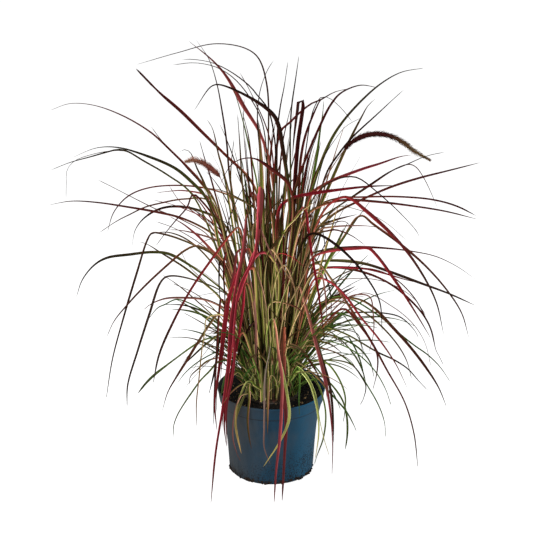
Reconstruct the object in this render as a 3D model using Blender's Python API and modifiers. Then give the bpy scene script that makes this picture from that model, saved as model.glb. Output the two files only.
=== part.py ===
"""Red fountain grass in a nursery pot.

The plant is built the way it grows: a crown of tillers stands in the soil of the pot, and each
long leaf blade and each flowering culm is a piece of its own that goes on from the top of its
tiller. Units are metres, +Z is up, and the origin is the centre of the pot's underside.
"""
import math

import bmesh
import bpy
import numpy as np
from mathutils import Matrix, Vector, kdtree

MM = 0.001
CM = 0.01

# Pot: a five-litre nursery pot of moulded plastic, 220 mm across its rim.
POT_HEIGHT = 180 * MM
RIM_RADIUS = 110 * MM
COLLAR_HEIGHT = 26 * MM
COLLAR_FOOT_RADIUS = 105.5 * MM
LEDGE_RADIUS = 104 * MM
WALL = 1.8 * MM
FLOOR = 2.5 * MM
WALL_SHAPE = ((9 * MM, 87 * MM), (60 * MM, 90.2 * MM), (104 * MM, 94 * MM), (130 * MM, 98.8 * MM),
              (150 * MM, 103.4 * MM))
FOOT_SHAPE = ((0.0, 84.5 * MM), (1.2 * MM, 86.0 * MM), (4 * MM, 86.7 * MM))
DRAIN_NOTCHES = 8
NOTCH_SIZE = (15 * MM, 14 * MM, 9 * MM)
NOTCH_RADIUS = 84 * MM
POT_SIDES = 36

# Soil and crown.
SOIL_TOP = 166 * MM
SOIL_BUMP = 2.2 * MM
FIT_GAP = 0.3 * MM
CROWN_RADIUS = 58 * MM
MOUND_HEIGHT = 11 * MM
MOUND_SIDES = 22
ROOT_DISC = 51 * MM
ROOT_SPACING = 11.5 * MM
ROOT_FAN = 0.52
ROOT_NUDGE = 1.5 * MM
GOLDEN_ANGLE = math.pi * (3 - 5 ** 0.5)

# Tillers: the sheathed stems that the blades grow from.
TILLER_RADIUS = (2.9 * MM, 2.1 * MM)
TILLER_SHARE = 0.17
TILLER_RINGS = 3
TILLER_LENGTH = (28 * MM, 130 * MM)

# Blades: widths are given per leaf, these hold for all of them.
BLADE_STATIONS = 12
BLADE_THICKNESS = (1.1 * MM, 0.45 * MM)
BLADE_TIP_WIDTH = 0.9 * MM
KEEL_DEPTH = 0.17
CULM_RADIUS = (1.2 * MM, 0.8 * MM)
CULM_RINGS = 12
PLUME_RINGS = 11

# Routes are given in centimetres as they look from this point, on the upright plane through the
# pot's axis, and each depth key says how far a point lies in front of that plane.
VIEW_POINT = Vector((-0.0098, -2.7189, 1.4479))
SAMPLE_STEP = 7 * MM
PARTING_ROUNDS = 120
PARTING_MARGIN = 2.8 * MM
PARTING_SPREAD = 45 * MM
PARTING_START = 45 * MM

# name, blade width in mm, route from the core to the tip: (x, z) or (x, z, depth key) in cm.
LEAVES = (
    ("leaf_left_1", 6.5, ((-9.5, 48.3, 0), (-11.2, 50.6), (-13, 51.8), (-15, 52.9), (-17.9, 54.2),
                          (-20, 54.7), (-25, 55.9), (-30, 56.6), (-35, 57.4), (-40, 57.5),
                          (-43.4, 56.8, -8))),
    ("leaf_left_2", 8.5, ((-8.5, 40, 3), (-10.2, 48), (-11.2, 54), (-12.9, 58.6), (-14.9, 60.9),
                          (-17.1, 63.3), (-20.4, 65.3), (-24.2, 66.9), (-27.7, 68.1),
                          (-31.3, 68.6), (-35, 68), (-38.2, 66.5, 14))),
    ("leaf_left_3", 6.0, ((-7.6, 44, -2), (-9.8, 53), (-12, 59.5), (-15.8, 63.8), (-18.8, 67.1),
                          (-21.4, 70), (-25.1, 72.7), (-28.9, 74.9), (-32.7, 76.4),
                          (-36.5, 77.1), (-40.1, 76.7), (-42, 75.8, -19))),
    ("leaf_left_4", 6.5, ((-2, 55, -4), (-3.7, 61.3), (-7.3, 65.3), (-11.1, 69.1), (-16.5, 74.8),
                          (-20.3, 78.2), (-25.6, 83.8, -20))),
    ("leaf_left_5", 9.0, ((-7.5, 36.5, -2), (-9.7, 39), (-13.2, 42), (-17.1, 44.9), (-20.7, 46.8),
                          (-23.7, 47), (-26.5, 46.6), (-30.2, 46.3), (-33.7, 45.3),
                          (-36.4, 42.8), (-38.1, 40.1), (-38.9, 37.5, -13))),
    ("leaf_left_6", 8.0, ((-8, 43, 4), (-9.2, 44.8), (-11.5, 46.6), (-15.1, 48.5), (-19.2, 50.3),
                          (-22.4, 51), (-23.5, 51.1), (-24.1, 50.3), (-25.2, 47), (-26.9, 42),
                          (-29, 35.2), (-31.1, 28.2), (-32.7, 21.8), (-33.8, 15.2, 15))),
    ("leaf_left_7", 7.5, ((-7.8, 36.5, 6), (-9.3, 38.4), (-12.2, 40), (-16.2, 41.5), (-20, 42.1),
                          (-21.1, 41.8), (-22.1, 40.7), (-23, 38.4), (-24.2, 34.7), (-25.6, 30.6),
                          (-27.3, 25.1), (-28.9, 19.8), (-29.7, 16.2), (-29.6, 13.2, 21))),
    ("leaf_left_8", 6.5, ((-5.2, 45, 7), (-5.9, 50.5), (-6.3, 52.4), (-7.2, 51.8), (-8.6, 50),
                          (-12, 45.3), (-16, 39.2), (-19.2, 33.2), (-22, 26.9), (-23.4, 22.7),
                          (-24.1, 18.6, 26))),
    ("leaf_left_9", 5.0, ((-1.5, 54, -5), (-4.6, 56.9), (-8.3, 58.6), (-11, 59.7), (-15, 60.6),
                          (-20, 60.6), (-24, 60.2), (-27.5, 58.8), (-30.1, 56.3), (-31.9, 52.9),
                          (-32.2, 51.2, -21))),
    ("leaf_left_10", 6.0, ((-7.5, 49, -3), (-9.6, 53.3), (-13.1, 55.3), (-16.9, 56.4),
                           (-20.9, 56.3), (-24.7, 54.3), (-26.7, 51.7), (-27.5, 48.1, -29))),
    ("leaf_left_11", 6.0, ((-9, 27.6, -3), (-11.4, 28.7), (-14.6, 27.7), (-17.9, 25.3), (-22, 22),
                           (-24.8, 19.5), (-27.3, 16.3, -16))),
    ("leaf_left_12", 6.0, ((-9, 33, 4), (-10.4, 33.8), (-11.3, 33.3), (-13.3, 30.1),
                           (-15.5, 26.6), (-18.6, 21.1), (-20.8, 17.5), (-22.5, 12, 17))),
    ("leaf_left_13", 5.5, ((-8.5, 33, 8), (-9.9, 33.8), (-12.4, 33.4), (-13.2, 32.8),
                           (-13.3, 31), (-13.9, 27.7), (-14.4, 22.4), (-15.1, 17.1),
                           (-15.5, 11.5), (-15.4, 8.7, 18))),
    ("leaf_left_14", 5.5, ((-9, 24, 3), (-11, 23.3), (-12.3, 21.6), (-14.7, 18.9), (-17, 15.3),
                           (-19.1, 11.9), (-20.2, 8.5), (-20.1, 6, 8))),
    ("leaf_top_1", 6.0, ((-1.2, 55, -5), (-0.8, 66), (-0.6, 76), (-0.8, 79), (-1.4, 83),
                         (-3.2, 86.6), (-7.5, 88.3), (-12.5, 88.3), (-18.3, 86.6), (-22.3, 85.2),
                         (-25.3, 84.6, -26))),
    ("leaf_top_2", 8.5, ((0.4, 60, -2), (-1.8, 70.3), (-4.5, 75), (-7.1, 79.7), (-9, 83),
                         (-11.6, 85.8), (-15.5, 89, -18))),
    ("leaf_top_3", 7.0, ((-6.8, 54, 2), (-8.1, 62), (-8.6, 68.9), (-9.5, 75.8), (-10.5, 81.4),
                         (-12, 86), (-14.1, 89.2, 14))),
    ("leaf_top_4", 9.0, ((3.6, 56, 6), (3.2, 61), (2.4, 66.9), (1.2, 72.9), (0.6, 74.7),
                         (-2.2, 77.1), (-5.3, 78.9), (-8.8, 80.5), (-11, 80.7), (-12.8, 78.9),
                         (-14.7, 75.8, 21))),
    ("leaf_top_5", 6.5, ((3.2, 53, -1), (3.7, 62), (3.5, 68.9), (3.9, 77.8), (4.9, 84.1),
                         (5.1, 86.2, -11))),
    ("leaf_top_6", 8.0, ((4.2, 55, 9), (3.4, 61), (0.7, 63.5), (-1.9, 65.7), (-4.6, 66.4),
                         (-7.3, 65.4), (-8.6, 63.9), (-10, 61, 19))),
    ("leaf_right_1", 10.0, ((6, 50, -3), (8.2, 61), (10.1, 66.9), (12.2, 71.5), (14.5, 74.6),
                            (17.9, 78.5), (21.9, 81.8), (25, 83.3), (28.6, 83.9, -20))),
    ("leaf_right_2", 7.0, ((3.4, 54, 3), (5.3, 62.5), (8.1, 69.9), (10.4, 75.2), (12.6, 78.7),
                           (15, 80), (17.5, 80.7), (19.8, 80.2, 23))),
    ("leaf_right_3", 7.0, ((7.6, 49, 2), (9.2, 52.2), (11.6, 54.6), (15.1, 56.7), (19.6, 58.9),
                           (24.1, 60.9), (28.8, 62.4), (33.4, 63.6), (38.1, 64.9),
                           (40.2, 65.4, 8))),
    ("leaf_right_4", 5.0, ((7, 50, -4), (10, 54.5), (13.5, 56.8), (17.9, 59.8), (21.3, 62.4),
                           (24.4, 64.3), (26.8, 65), (28.6, 63.7), (30.4, 60.3),
                           (32.4, 56.2, -17))),
    ("leaf_right_5", 7.0, ((5.2, 51, 5), (7.5, 55.4), (10.9, 57.2), (15.1, 57.9), (19.7, 57.6),
                           (24.3, 57.1), (29, 56.4), (33.7, 55.6), (38.7, 54.4),
                           (40.2, 53.9, 12))),
    ("leaf_right_6", 9.5, ((7.5, 49, 6), (9.8, 55), (12.2, 57.8), (14.6, 58.5), (15.6, 58),
                           (18.2, 55.9), (21.3, 52.8), (25.8, 48.5), (28.5, 44.7), (30.8, 40.9),
                           (32.8, 36.8), (34.3, 32.1), (34.7, 29.5, 23))),
    ("leaf_right_7", 9.5, ((9.6, 42, -2), (12.1, 46.7), (14.5, 50.7), (16.9, 54.4), (17.7, 54.6),
                           (20.3, 52.5), (25, 49), (29.4, 45.2), (33.2, 41.1), (37, 36.1),
                           (39, 31.9), (39.8, 28.7, -6))),
    ("leaf_right_8", 6.5, ((5.4, 44, -4), (6.8, 46), (9.1, 47.1), (13.1, 47.9), (19.8, 48),
                           (26.2, 47.4), (32.2, 46.2), (37.6, 43.5), (39, 42.6),
                           (40.4, 41.4, -17))),
    ("leaf_right_9", 8.5, ((7.5, 45.5, 6), (12.7, 47.6), (17.4, 47.9), (18.9, 48), (20, 47.3),
                           (21.8, 44.9), (24.5, 41.1), (27.3, 37), (29.1, 33.7), (31.2, 30.3),
                           (32.2, 28.5, 26))),
    ("leaf_right_10", 7.5, ((7, 43.6, 1), (9.2, 45), (13.9, 45.3), (18.7, 44.6), (23.9, 42.8),
                            (29.5, 40.6), (34.4, 38.7), (39.5, 36.4), (40.6, 35.8, 3))),
    ("leaf_right_11", 7.0, ((7.5, 42, -6), (10.4, 43.6), (15.2, 43.5), (19.9, 42.2),
                            (24.2, 39.9), (28.5, 36), (31.3, 32.3), (32.6, 28.8),
                            (33.2, 26.2, -21))),
    ("leaf_right_12", 8.5, ((6, 49, 9), (8.1, 51), (11.3, 49.7), (14.4, 47.1), (17.1, 44.2),
                            (19.3, 41.1), (21, 38.3), (22, 34.7), (22.3, 30, 28))),
    ("leaf_right_13", 8.5, ((7.2, 43, 4), (9.2, 44.7), (11.6, 41.8), (13.8, 38.4), (15.9, 35),
                            (18.8, 30), (20.5, 27.3), (22.4, 23.4), (25, 19.1), (27.7, 13.5),
                            (29.2, 8.5), (30.2, 3.4), (30.6, -0.8, 13))),
    ("leaf_right_14", 7.5, ((8.7, 41.5, 8), (11.5, 40.9), (14.8, 37.8), (17.8, 33.4), (20.6, 30),
                            (24, 24.9), (25.8, 22), (27.8, 17.5, 19))),
    ("leaf_right_15", 7.0, ((8, 35, -1), (11.7, 37), (14.5, 37.4), (17.5, 37), (19.6, 35.9),
                            (22.2, 33.4), (24.8, 30.4), (28.4, 26.2), (32.2, 20.9),
                            (34.8, 16.4), (36, 13.2, -9))),
    ("leaf_right_16", 5.5, ((7.5, 20.5, 4), (10.5, 20), (12.4, 18.2), (14.5, 15.1),
                            (15.5, 11.7), (15.8, 7.5), (15.4, 3.4, 8))),
    ("leaf_right_17", 7.0, ((1.5, 56, 4), (3.5, 58), (7.9, 59.2), (12.5, 59.9), (17.2, 60.5),
                            (21.8, 60.8), (24, 60.8, 19))),
    ("leaf_front_1", 9.0, ((-4.2, 50, 8), (-4.6, 54.6), (-4.7, 55.3), (-4.9, 53.8),
                           (-5.3, 49.6), (-6.1, 43.3), (-7.5, 38), (-8.1, 33), (-8.4, 28.2),
                           (-8.9, 21.5), (-9.3, 17.1), (-9.9, 13.3), (-11.1, 6.9),
                           (-11.8, -0.1), (-12.5, -7.2), (-12.7, -9.3, 22.5))),
    ("leaf_front_2", 10.5, ((-1.6, 55, 9), (-1.9, 60.2), (-2, 60.8), (-2.1, 59.5), (-2.5, 52.7),
                            (-2.9, 48.5), (-3.4, 46), (-4.8, 43.3), (-6.1, 40.3), (-7, 36.2),
                            (-7.4, 31.9), (-7.6, 27), (-7.6, 22.7), (-8.2, 18.2), (-9.1, 13.7),
                            (-9.5, 9.2), (-9.2, 4, 19))),
    ("leaf_front_3", 6.0, ((-5.6, 44, 6), (-6, 47.8), (-6.5, 47.6), (-7.5, 42), (-8.6, 36),
                           (-9.3, 30.4), (-9.9, 26), (-10.6, 21.5), (-11.3, 17.1),
                           (-11.6, 12.6), (-11.2, 7.8, 16))),
    ("leaf_front_4", 7.0, ((0.3, 25, 6.6), (0.1, 27, 7), (-0.1, 27.3, 7.8), (-0.3, 25.6, 8.4),
                           (-1, 22), (-1.4, 18.2), (-1.4, 11.4), (-1.5, 6.9), (-1.4, 3.6),
                           (-0.2, 0.1, 15))),
    ("leaf_front_5", 10.0, ((-0.8, 29, 7.6), (-0.2, 32.7, 8), (0.1, 33.1, 8.9), (0.5, 31.4, 9.4), (1, 27.5),
                            (1.6, 24.2), (2.5, 20.2), (3.3, 16), (3.8, 11.9), (3.5, 9.4),
                            (2, 5.7), (0.6, 2.9), (-1.6, -0.5, 17))),
    ("leaf_front_6", 6.5, ((0.8, 30, 10), (0.6, 33), (0.7, 33.2), (1, 31), (1.4, 25.5),
                           (2.1, 20.9), (2.1, 16), (2, 9.2), (1.6, 4.6), (1.1, -0.1),
                           (0.8, -4.8), (0.7, -7.2), (0.6, -9.2, 22))),
    ("leaf_front_7", 8.0, ((2.2, 28, 7), (2.4, 31), (2.5, 31.4), (2.4, 30), (2.4, 26.5),
                           (2.5, 22), (2.8, 15.8), (3.1, 9.2), (2.9, 4.6), (2.6, -2.5),
                           (2.4, -7.2), (2.3, -8.8, 19))),
    ("leaf_front_8", 6.0, ((-2.8, 19.8, 7), (-3.2, 21), (-3.7, 20.4), (-4.9, 17.3), (-6.3, 14),
                           (-7.4, 10.3), (-7.1, 6.9), (-6.2, 2.5, 14))),
    ("leaf_front_9", 7.5, ((3.5, 21.5, 6), (4.8, 22.6), (6.9, 20.6), (8.4, 18), (9.3, 15.1),
                           (9.8, 11.4), (10.7, 6.9), (12.1, 2, 13))),
    ("leaf_front_10", 10.5, ((4.6, 36, 7), (5, 39.8), (5.3, 40.2), (5.9, 38.6), (7.1, 34.7),
                             (8.4, 29.7), (9.6, 25.1), (10.7, 20.6), (11.8, 14.8), (12.5, 8.4),
                             (12.8, 2.7), (12.7, -2.5, 18))),
    ("leaf_back_1", 8.5, ((-1, 40, -5), (-2, 52, -9), (-3, 58, -15), (-4, 59, -23),
                          (-5, 54, -31), (-5.5, 46, -37))),
    ("leaf_back_2", 8.5, ((2, 42, -6), (3, 53, -11), (4, 58, -18), (5, 57, -26), (6, 50, -33),
                          (6.5, 42, -36))),
    ("leaf_back_3", 7.5, ((0, 36, -6), (0.5, 44, -12), (1, 46, -20), (1.5, 41, -28),
                          (2, 32, -33), (2, 24, -35))),
    ("leaf_back_4", 8.0, ((-3, 34, -6), (-5, 41, -12), (-6.5, 42, -20), (-7.5, 36, -27),
                          (-8, 28, -30))),
    ("leaf_back_5", 8.0, ((3.5, 33, -6), (5.5, 39, -13), (7, 39, -20), (8, 33, -27),
                          (8.5, 26, -30))),
)

# name, plume diameter in mm, plume length in cm, route from the core to the plume's tip.
CULMS = (
    ("right", 9.0, 18.5, ((6.5, 50, 2), (9.95, 61), (12.1, 65.1), (13.9, 67.9), (16, 69.9),
                          (18.9, 71), (21.9, 70.9), (24.8, 69.7), (27.4, 67.7),
                          (30.5, 65.9, 7))),
    ("left", 9.0, 8.0, ((-5, 50, 4), (-8, 58), (-10, 62.5), (-10.9, 63.5), (-12.9, 65.1),
                        (-15, 65.9), (-16.5, 65.6, 9))),
)


def smooth(value):
    """Ease a value between 0 and 1 in and out."""
    value = min(max(value, 0.0), 1.0)
    return value * value * (3 - 2 * value)


def mix(low, high, share):
    return low + (high - low) * share


def pot_radius(height):
    """Outer radius of the pot's wall at a height."""
    heights, radii = zip(*FOOT_SHAPE, *WALL_SHAPE, (POT_HEIGHT - COLLAR_HEIGHT, COLLAR_FOOT_RADIUS),
                         (POT_HEIGHT, RIM_RADIUS))
    return float(np.interp(height, heights, radii))


# ---------------------------------------------------------------- collections and materials
def clear_scene():
    for item in list(bpy.data.objects):
        bpy.data.objects.remove(item, do_unlink=True)


def new_collection(name):
    collection = bpy.data.collections.new(name)
    bpy.context.scene.collection.children.link(collection)
    return collection


def new_material(name, color, roughness):
    material = bpy.data.materials.new(name)
    material.use_nodes = True
    shader = material.node_tree.nodes["Principled BSDF"]
    shader.inputs["Base Color"].default_value = (*color, 1.0)
    shader.inputs["Roughness"].default_value = roughness
    shader.inputs["Metallic"].default_value = 0.0
    return material


def new_object(name, mesh, collection, material=None):
    item = bpy.data.objects.new(name, mesh)
    collection.objects.link(item)
    if material:
        mesh.materials.append(material)
    return item


def shade_round(mesh, angle=40):
    mesh.shade_smooth()
    mesh.set_sharp_from_angle(angle=math.radians(angle))


def turned(name, profile, sides, collection, material):
    """A turned solid: a profile of (radius, height) that ends on the axis, with a Screw."""
    mesh = bpy.data.meshes.new(name)
    points = [(radius, 0.0, height) for radius, height in profile]
    mesh.from_pydata(points, [(i, i + 1) for i in range(len(points) - 1)], [])
    item = new_object(name, mesh, collection, material)
    screw = item.modifiers.new("turn", "SCREW")
    screw.axis = "Z"
    screw.steps = sides
    screw.render_steps = sides
    screw.use_merge_vertices = True
    screw.merge_threshold = 0.00005
    screw.use_smooth_shade = True
    return item


def made_mesh(item, name):
    """The item's evaluated mesh as a mesh of its own."""
    graph = bpy.context.evaluated_depsgraph_get()
    mesh = bpy.data.meshes.new_from_object(item.evaluated_get(graph))
    mesh.name = name
    return mesh


# ---------------------------------------------------------------- pot and soil
def pot_profile():
    """From the middle of the inner floor, up the inside, over the rim and down the outside."""
    inside = [(radius - WALL, height) for height, radius in WALL_SHAPE if height > 2 * FLOOR]
    floor_radius = inside[0][0]
    lip = 0.6 * MM
    collar_foot = POT_HEIGHT - COLLAR_HEIGHT
    profile = [(0.0, FLOOR), (floor_radius - 3 * MM, FLOOR), (floor_radius - 0.6 * MM, FLOOR + 2 * MM)]
    profile += inside
    profile += [(COLLAR_FOOT_RADIUS - WALL, collar_foot + 1 * MM),
                (RIM_RADIUS - WALL, POT_HEIGHT - lip),
                (RIM_RADIUS - WALL + lip, POT_HEIGHT),
                (RIM_RADIUS - lip, POT_HEIGHT),
                (RIM_RADIUS, POT_HEIGHT - lip),
                (COLLAR_FOOT_RADIUS + 0.5 * MM, collar_foot + 0.8 * MM),
                (COLLAR_FOOT_RADIUS, collar_foot),
                (LEDGE_RADIUS, collar_foot - 0.6 * MM)]
    profile += [(radius, height) for height, radius in reversed(WALL_SHAPE)]
    profile += [(radius, height) for height, radius in reversed(FOOT_SHAPE)]
    profile.append((0.0, 0.0))
    return profile


def make_pot(parts, cutters):
    """A thin-walled pot with a collar and drain notches round its bottom edge."""
    material = new_material("pot_plastic", (0.060, 0.110, 0.165), 0.48)
    pot = turned("pot", pot_profile(), POT_SIDES, parts, material)
    for index in range(DRAIN_NOTCHES):
        angle = 2 * math.pi * (index + 0.37) / DRAIN_NOTCHES
        bpy.ops.mesh.primitive_cube_add(size=1.0)
        cutter = bpy.context.object
        cutter.name = f"drain_notch_{index + 1}"
        cutter.data.transform(Matrix.Diagonal((*NOTCH_SIZE, 1.0)))
        cutter.location = (NOTCH_RADIUS * math.cos(angle), NOTCH_RADIUS * math.sin(angle),
                           NOTCH_SIZE[2] / 2 - 2.5 * MM)
        cutter.rotation_euler.z = angle
        bevel = cutter.modifiers.new("round", "BEVEL")
        bevel.width = 2 * MM
        bevel.segments = 1
        cutter.hide_render = True
        cutter.display_type = "WIRE"
        for collection in list(cutter.users_collection):
            collection.objects.unlink(cutter)
        cutters.objects.link(cutter)
        cut = pot.modifiers.new(cutter.name, "BOOLEAN")
        cut.operation = "DIFFERENCE"
        cut.solver = "EXACT"
        cut.object = cutter
    return pot


def make_soil(parts):
    """The root ball and soil, which fill the pot; the top is uneven round the crown."""
    material = new_material("soil", (0.028, 0.019, 0.013), 0.95)
    shape = [(radius - WALL - FIT_GAP, height) for height, radius in WALL_SHAPE if height > 2 * FLOOR]
    foot_radius = shape[0][0]
    rings = (90 * MM, 75 * MM, CROWN_RADIUS + 3 * MM)
    top_radius = pot_radius(SOIL_TOP) - WALL - FIT_GAP - 2.0 * MM
    profile = [(0.0, SOIL_TOP)]
    profile += [(radius, SOIL_TOP) for radius in reversed(rings)]
    profile += [(top_radius, SOIL_TOP), (top_radius, SOIL_TOP - 8 * MM)]
    profile += list(reversed(shape))
    profile += [(foot_radius - 0.8 * MM, FLOOR + 3 * MM), (foot_radius - 4 * MM, FLOOR + FIT_GAP),
                (0.0, FLOOR + FIT_GAP)]
    turned_soil = turned("soil_blank", profile, POT_SIDES, parts, None)
    mesh = made_mesh(turned_soil, "soil")
    bpy.data.objects.remove(turned_soil, do_unlink=True)
    for vertex in mesh.vertices:
        x, y, z = vertex.co
        reach = math.hypot(x, y)
        if z > SOIL_TOP - 1 * MM and CROWN_RADIUS + 5 * MM < reach:
            angle = math.atan2(y, x)
            vertex.co.z += SOIL_BUMP * (0.45 * math.sin(5 * angle + 90 * reach)
                                        + 0.35 * math.sin(11 * angle - 160 * reach)
                                        + 0.30 * math.cos(17 * angle + 70 * reach))
    shade_round(mesh, 35)
    return new_object("soil", mesh, parts, material)


# ---------------------------------------------------------------- routes
def sight_place(x, z, depth):
    """The place in space of a route's point, moved along its sight line to its depth."""
    on_plane = Vector((x * CM, 0.0, z * CM))
    share = (-depth * CM - VIEW_POINT.y) / (0.0 - VIEW_POINT.y)
    return VIEW_POINT + (on_plane - VIEW_POINT) * share


def with_depths(route):
    """Route points as places in space: depths between the keys follow the route's length."""
    flat = np.array([point[:2] for point in route], float)
    along = np.concatenate(([0.0], np.cumsum(np.linalg.norm(np.diff(flat, axis=0), axis=1))))
    keys = [(along[i], point[2]) for i, point in enumerate(route) if len(point) == 3]
    key_along, key_depth = zip(*keys)
    depths = np.interp(along, key_along, key_depth)
    return [sight_place(x, z, depth) for (x, z), depth in zip(flat, depths)]


def spline(points, step=SAMPLE_STEP):
    """Even samples on a centripetal Catmull-Rom curve through the points."""
    ends = [2 * points[0] - points[1]] + list(points) + [2 * points[-1] - points[-2]]
    dense = []
    for a, b, c, d in zip(ends, ends[1:], ends[2:], ends[3:]):
        t1 = max((b - a).length, 1e-6) ** 0.5
        t2 = t1 + max((c - b).length, 1e-6) ** 0.5
        t3 = t2 + max((d - c).length, 1e-6) ** 0.5
        count = max(4, int((c - b).length / (2 * MM)))
        for index in range(count):
            t = t1 + (t2 - t1) * index / count
            a1 = a.lerp(b, t / t1)
            a2 = b.lerp(c, (t - t1) / (t2 - t1))
            a3 = c.lerp(d, (t - t2) / (t3 - t2))
            b1 = a1.lerp(a2, t / t2)
            b2 = a2.lerp(a3, (t - t1) / (t3 - t1))
            dense.append(b1.lerp(b2, (t - t1) / (t2 - t1)))
    dense.append(points[-1])
    return resample(np.array(dense), step=step)


def resample(points, step=None, count=None):
    along = np.concatenate(([0.0], np.cumsum(np.linalg.norm(np.diff(points, axis=0), axis=1))))
    count = count or max(8, int(along[-1] / step) + 1)
    wanted = np.linspace(0.0, along[-1], count)
    return np.stack([np.interp(wanted, along, points[:, k]) for k in range(3)], axis=1)


def spread_roots(aims):
    """Root places on the crown: a small fan of where the shoots aim, kept apart."""
    roots = np.array([[aim.x * ROOT_FAN, aim.y * ROOT_FAN] for aim in aims])
    turns = np.arange(len(aims)) * GOLDEN_ANGLE
    roots += ROOT_NUDGE * np.stack([np.cos(turns), np.sin(turns)], axis=1)
    for _ in range(400):
        push = np.zeros_like(roots)
        for i in range(len(roots)):
            away = roots[i] - roots
            gap = np.hypot(away[:, 0], away[:, 1])
            gap[i] = 1.0
            near = gap < ROOT_SPACING
            if near.any():
                share = (ROOT_SPACING - gap[near]) / np.maximum(gap[near], 1e-5)
                push[i] += 0.35 * (away[near] * share[:, None]).sum(axis=0)
        roots += push
        reach = np.hypot(roots[:, 0], roots[:, 1])
        roots *= np.minimum(1.0, ROOT_DISC / np.maximum(reach, 1e-6))[:, None]
    return roots


def crown_top(x, y):
    """Height of the mound's surface."""
    share = min(1.0, math.hypot(x, y) / CROWN_RADIUS)
    return SOIL_TOP + FIT_GAP + MOUND_HEIGHT * math.sqrt(max(0.0, 1 - share ** 2)) * 0.9


class Shoot:
    """A tiller and the blade or culm that grows on from it, as one route."""

    def __init__(self, name, width, route):
        self.name = name
        self.width = width
        self.places = with_depths(route)

    def set_root(self, root):
        foot = Vector((root[0], root[1], crown_top(*root)))
        aim = self.places[0]
        rise = (aim - foot).length
        lean = Vector((aim.x - foot.x, aim.y - foot.y, 0.0))
        start = foot + Vector((0, 0, 0.30 * rise)) + lean * 0.14
        middle = foot + Vector((0, 0, 0.64 * (aim.z - foot.z) + 0.02 * rise)) + lean * 0.50
        bends_down = self.places[1].z < aim.z
        guides = [foot, start] if bends_down and rise < 0.08 else [foot, start, middle]
        self.samples = spline(guides + self.places)
        sight = np.array(VIEW_POINT)[None, :] - self.samples
        self.sight = sight / np.linalg.norm(sight, axis=1)[:, None]
        self.offset = np.zeros((len(self.samples), 3))
        steps = np.linalg.norm(np.diff(self.samples, axis=0), axis=1)
        self.along = np.concatenate(([0.0], np.cumsum(steps)))
        self.length = self.along[-1]
        self.free = np.array([smooth(value / PARTING_START) for value in self.along])
        aim_sample = int(np.argmin(np.linalg.norm(self.samples - np.array(aim), axis=1)))
        self.seen = np.arange(len(self.samples)) >= aim_sample
        self.tiller = min(max(TILLER_SHARE * self.length, TILLER_LENGTH[0]), TILLER_LENGTH[1])
        if self.length < 0.30:
            self.tiller = TILLER_LENGTH[0]
        self.half = np.array([self.half_width(value) for value in self.along])

    def half_width(self, along):
        if along < self.tiller:
            return TILLER_RADIUS[0]
        share = (along - self.tiller) / (self.length - self.tiller)
        return 0.5 * blade_width(self.width * MM, share)

    def current(self):
        return self.samples + self.offset


def blade_width(width, share):
    """Width of a blade along its length: narrow at the sheath, widest at a third, a long tip."""
    base = 0.50 + 0.50 * smooth(share / 0.28)
    tip = 1.0 if share < 0.40 else 1.0 - ((share - 0.40) / 0.60) ** 1.5
    return max(BLADE_TIP_WIDTH, width * base * tip)


def part_shoots(shoots):
    """Move the shoots apart until no two touch: along the sight lines past the aim of each shoot,
    and level with the ground below it; the roots stay."""
    owner = np.concatenate([np.full(len(s.samples), i) for i, s in enumerate(shoots)])
    local = np.concatenate([np.arange(len(s.samples)) for s in shoots])
    half = np.concatenate([s.half for s in shoots])
    sights = np.concatenate([s.sight for s in shoots])
    widest = float(half.max())
    for _ in range(PARTING_ROUNDS):
        places = np.concatenate([s.current() for s in shoots])
        tree = kdtree.KDTree(len(places))
        for index, place in enumerate(places):
            tree.insert(place, index)
        tree.balance()
        meetings = {}
        for index, place in enumerate(places):
            reach = half[index] + widest + PARTING_MARGIN
            for _, other, _ in tree.find_range(place, reach):
                if owner[other] > owner[index]:
                    need = half[index] + half[other] + PARTING_MARGIN
                    apart = places[index] - places[other]
                    if float(apart @ apart) < need * need:
                        key = (int(owner[index]), int(owner[other]), int(local[index]) // 12)
                        meetings.setdefault(key, []).append((index, other, need, apart))
        if not meetings:
            break
        pushes = [np.zeros((len(s.samples), 3)) for s in shoots]
        for (first, second, _), touches in sorted(meetings.items(), key=lambda item: item[0]):
            lean = sum(float(apart @ sights[index]) for index, _, _, apart in touches)
            side = 1.0 if lean >= 0 else -1.0
            for index, other, need, apart in touches:
                for number, sample, sign in ((first, index, 1.0), (second, other, -1.0)):
                    if shoots[number].seen[local[sample]]:
                        push = sight_push(apart, sights[sample], side, need) * sign
                    else:
                        push = level_push(apart, need) * sign
                    if push @ push > pushes[number][local[sample]] @ pushes[number][local[sample]]:
                        pushes[number][local[sample]] = push
        for shoot, push in zip(shoots, pushes):
            if push.any():
                shoot.offset += 0.8 * spread_push(shoot, push) * shoot.free[:, None]


def sight_push(apart, sight, side, need):
    """Half of the move along a sight line that gives two samples their distance."""
    depth = float(apart @ sight) * side
    across = max(0.0, float(apart @ apart) - depth * depth)
    wanted = math.sqrt(max(0.0, need * need - across))
    return 0.5 * max(0.0, wanted - depth) * side * sight


def level_push(apart, need):
    """Half of the level move that gives two samples their distance."""
    level = np.array([apart[0], apart[1], 0.0])
    reach = float(np.linalg.norm(level))
    if reach < 0.2 * MM:
        level = np.array([1.0, 0.0, 0.0])
        reach = 1.0
    return 0.5 * (need - float(np.linalg.norm(apart))) * level / reach


def spread_push(shoot, push):
    """Carry each push along its shoot, so that the route stays smooth."""
    result = np.zeros_like(push)
    strength = np.zeros(len(push))
    for sample in np.nonzero(push.any(axis=1))[0]:
        near = np.exp(-0.5 * ((shoot.along - shoot.along[sample]) / PARTING_SPREAD) ** 2)
        carried = push[sample][None, :] * near[:, None]
        reach = np.linalg.norm(carried, axis=1)
        stronger = reach > strength
        result[stronger] = carried[stronger]
        strength[stronger] = reach[stronger]
    return result


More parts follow.
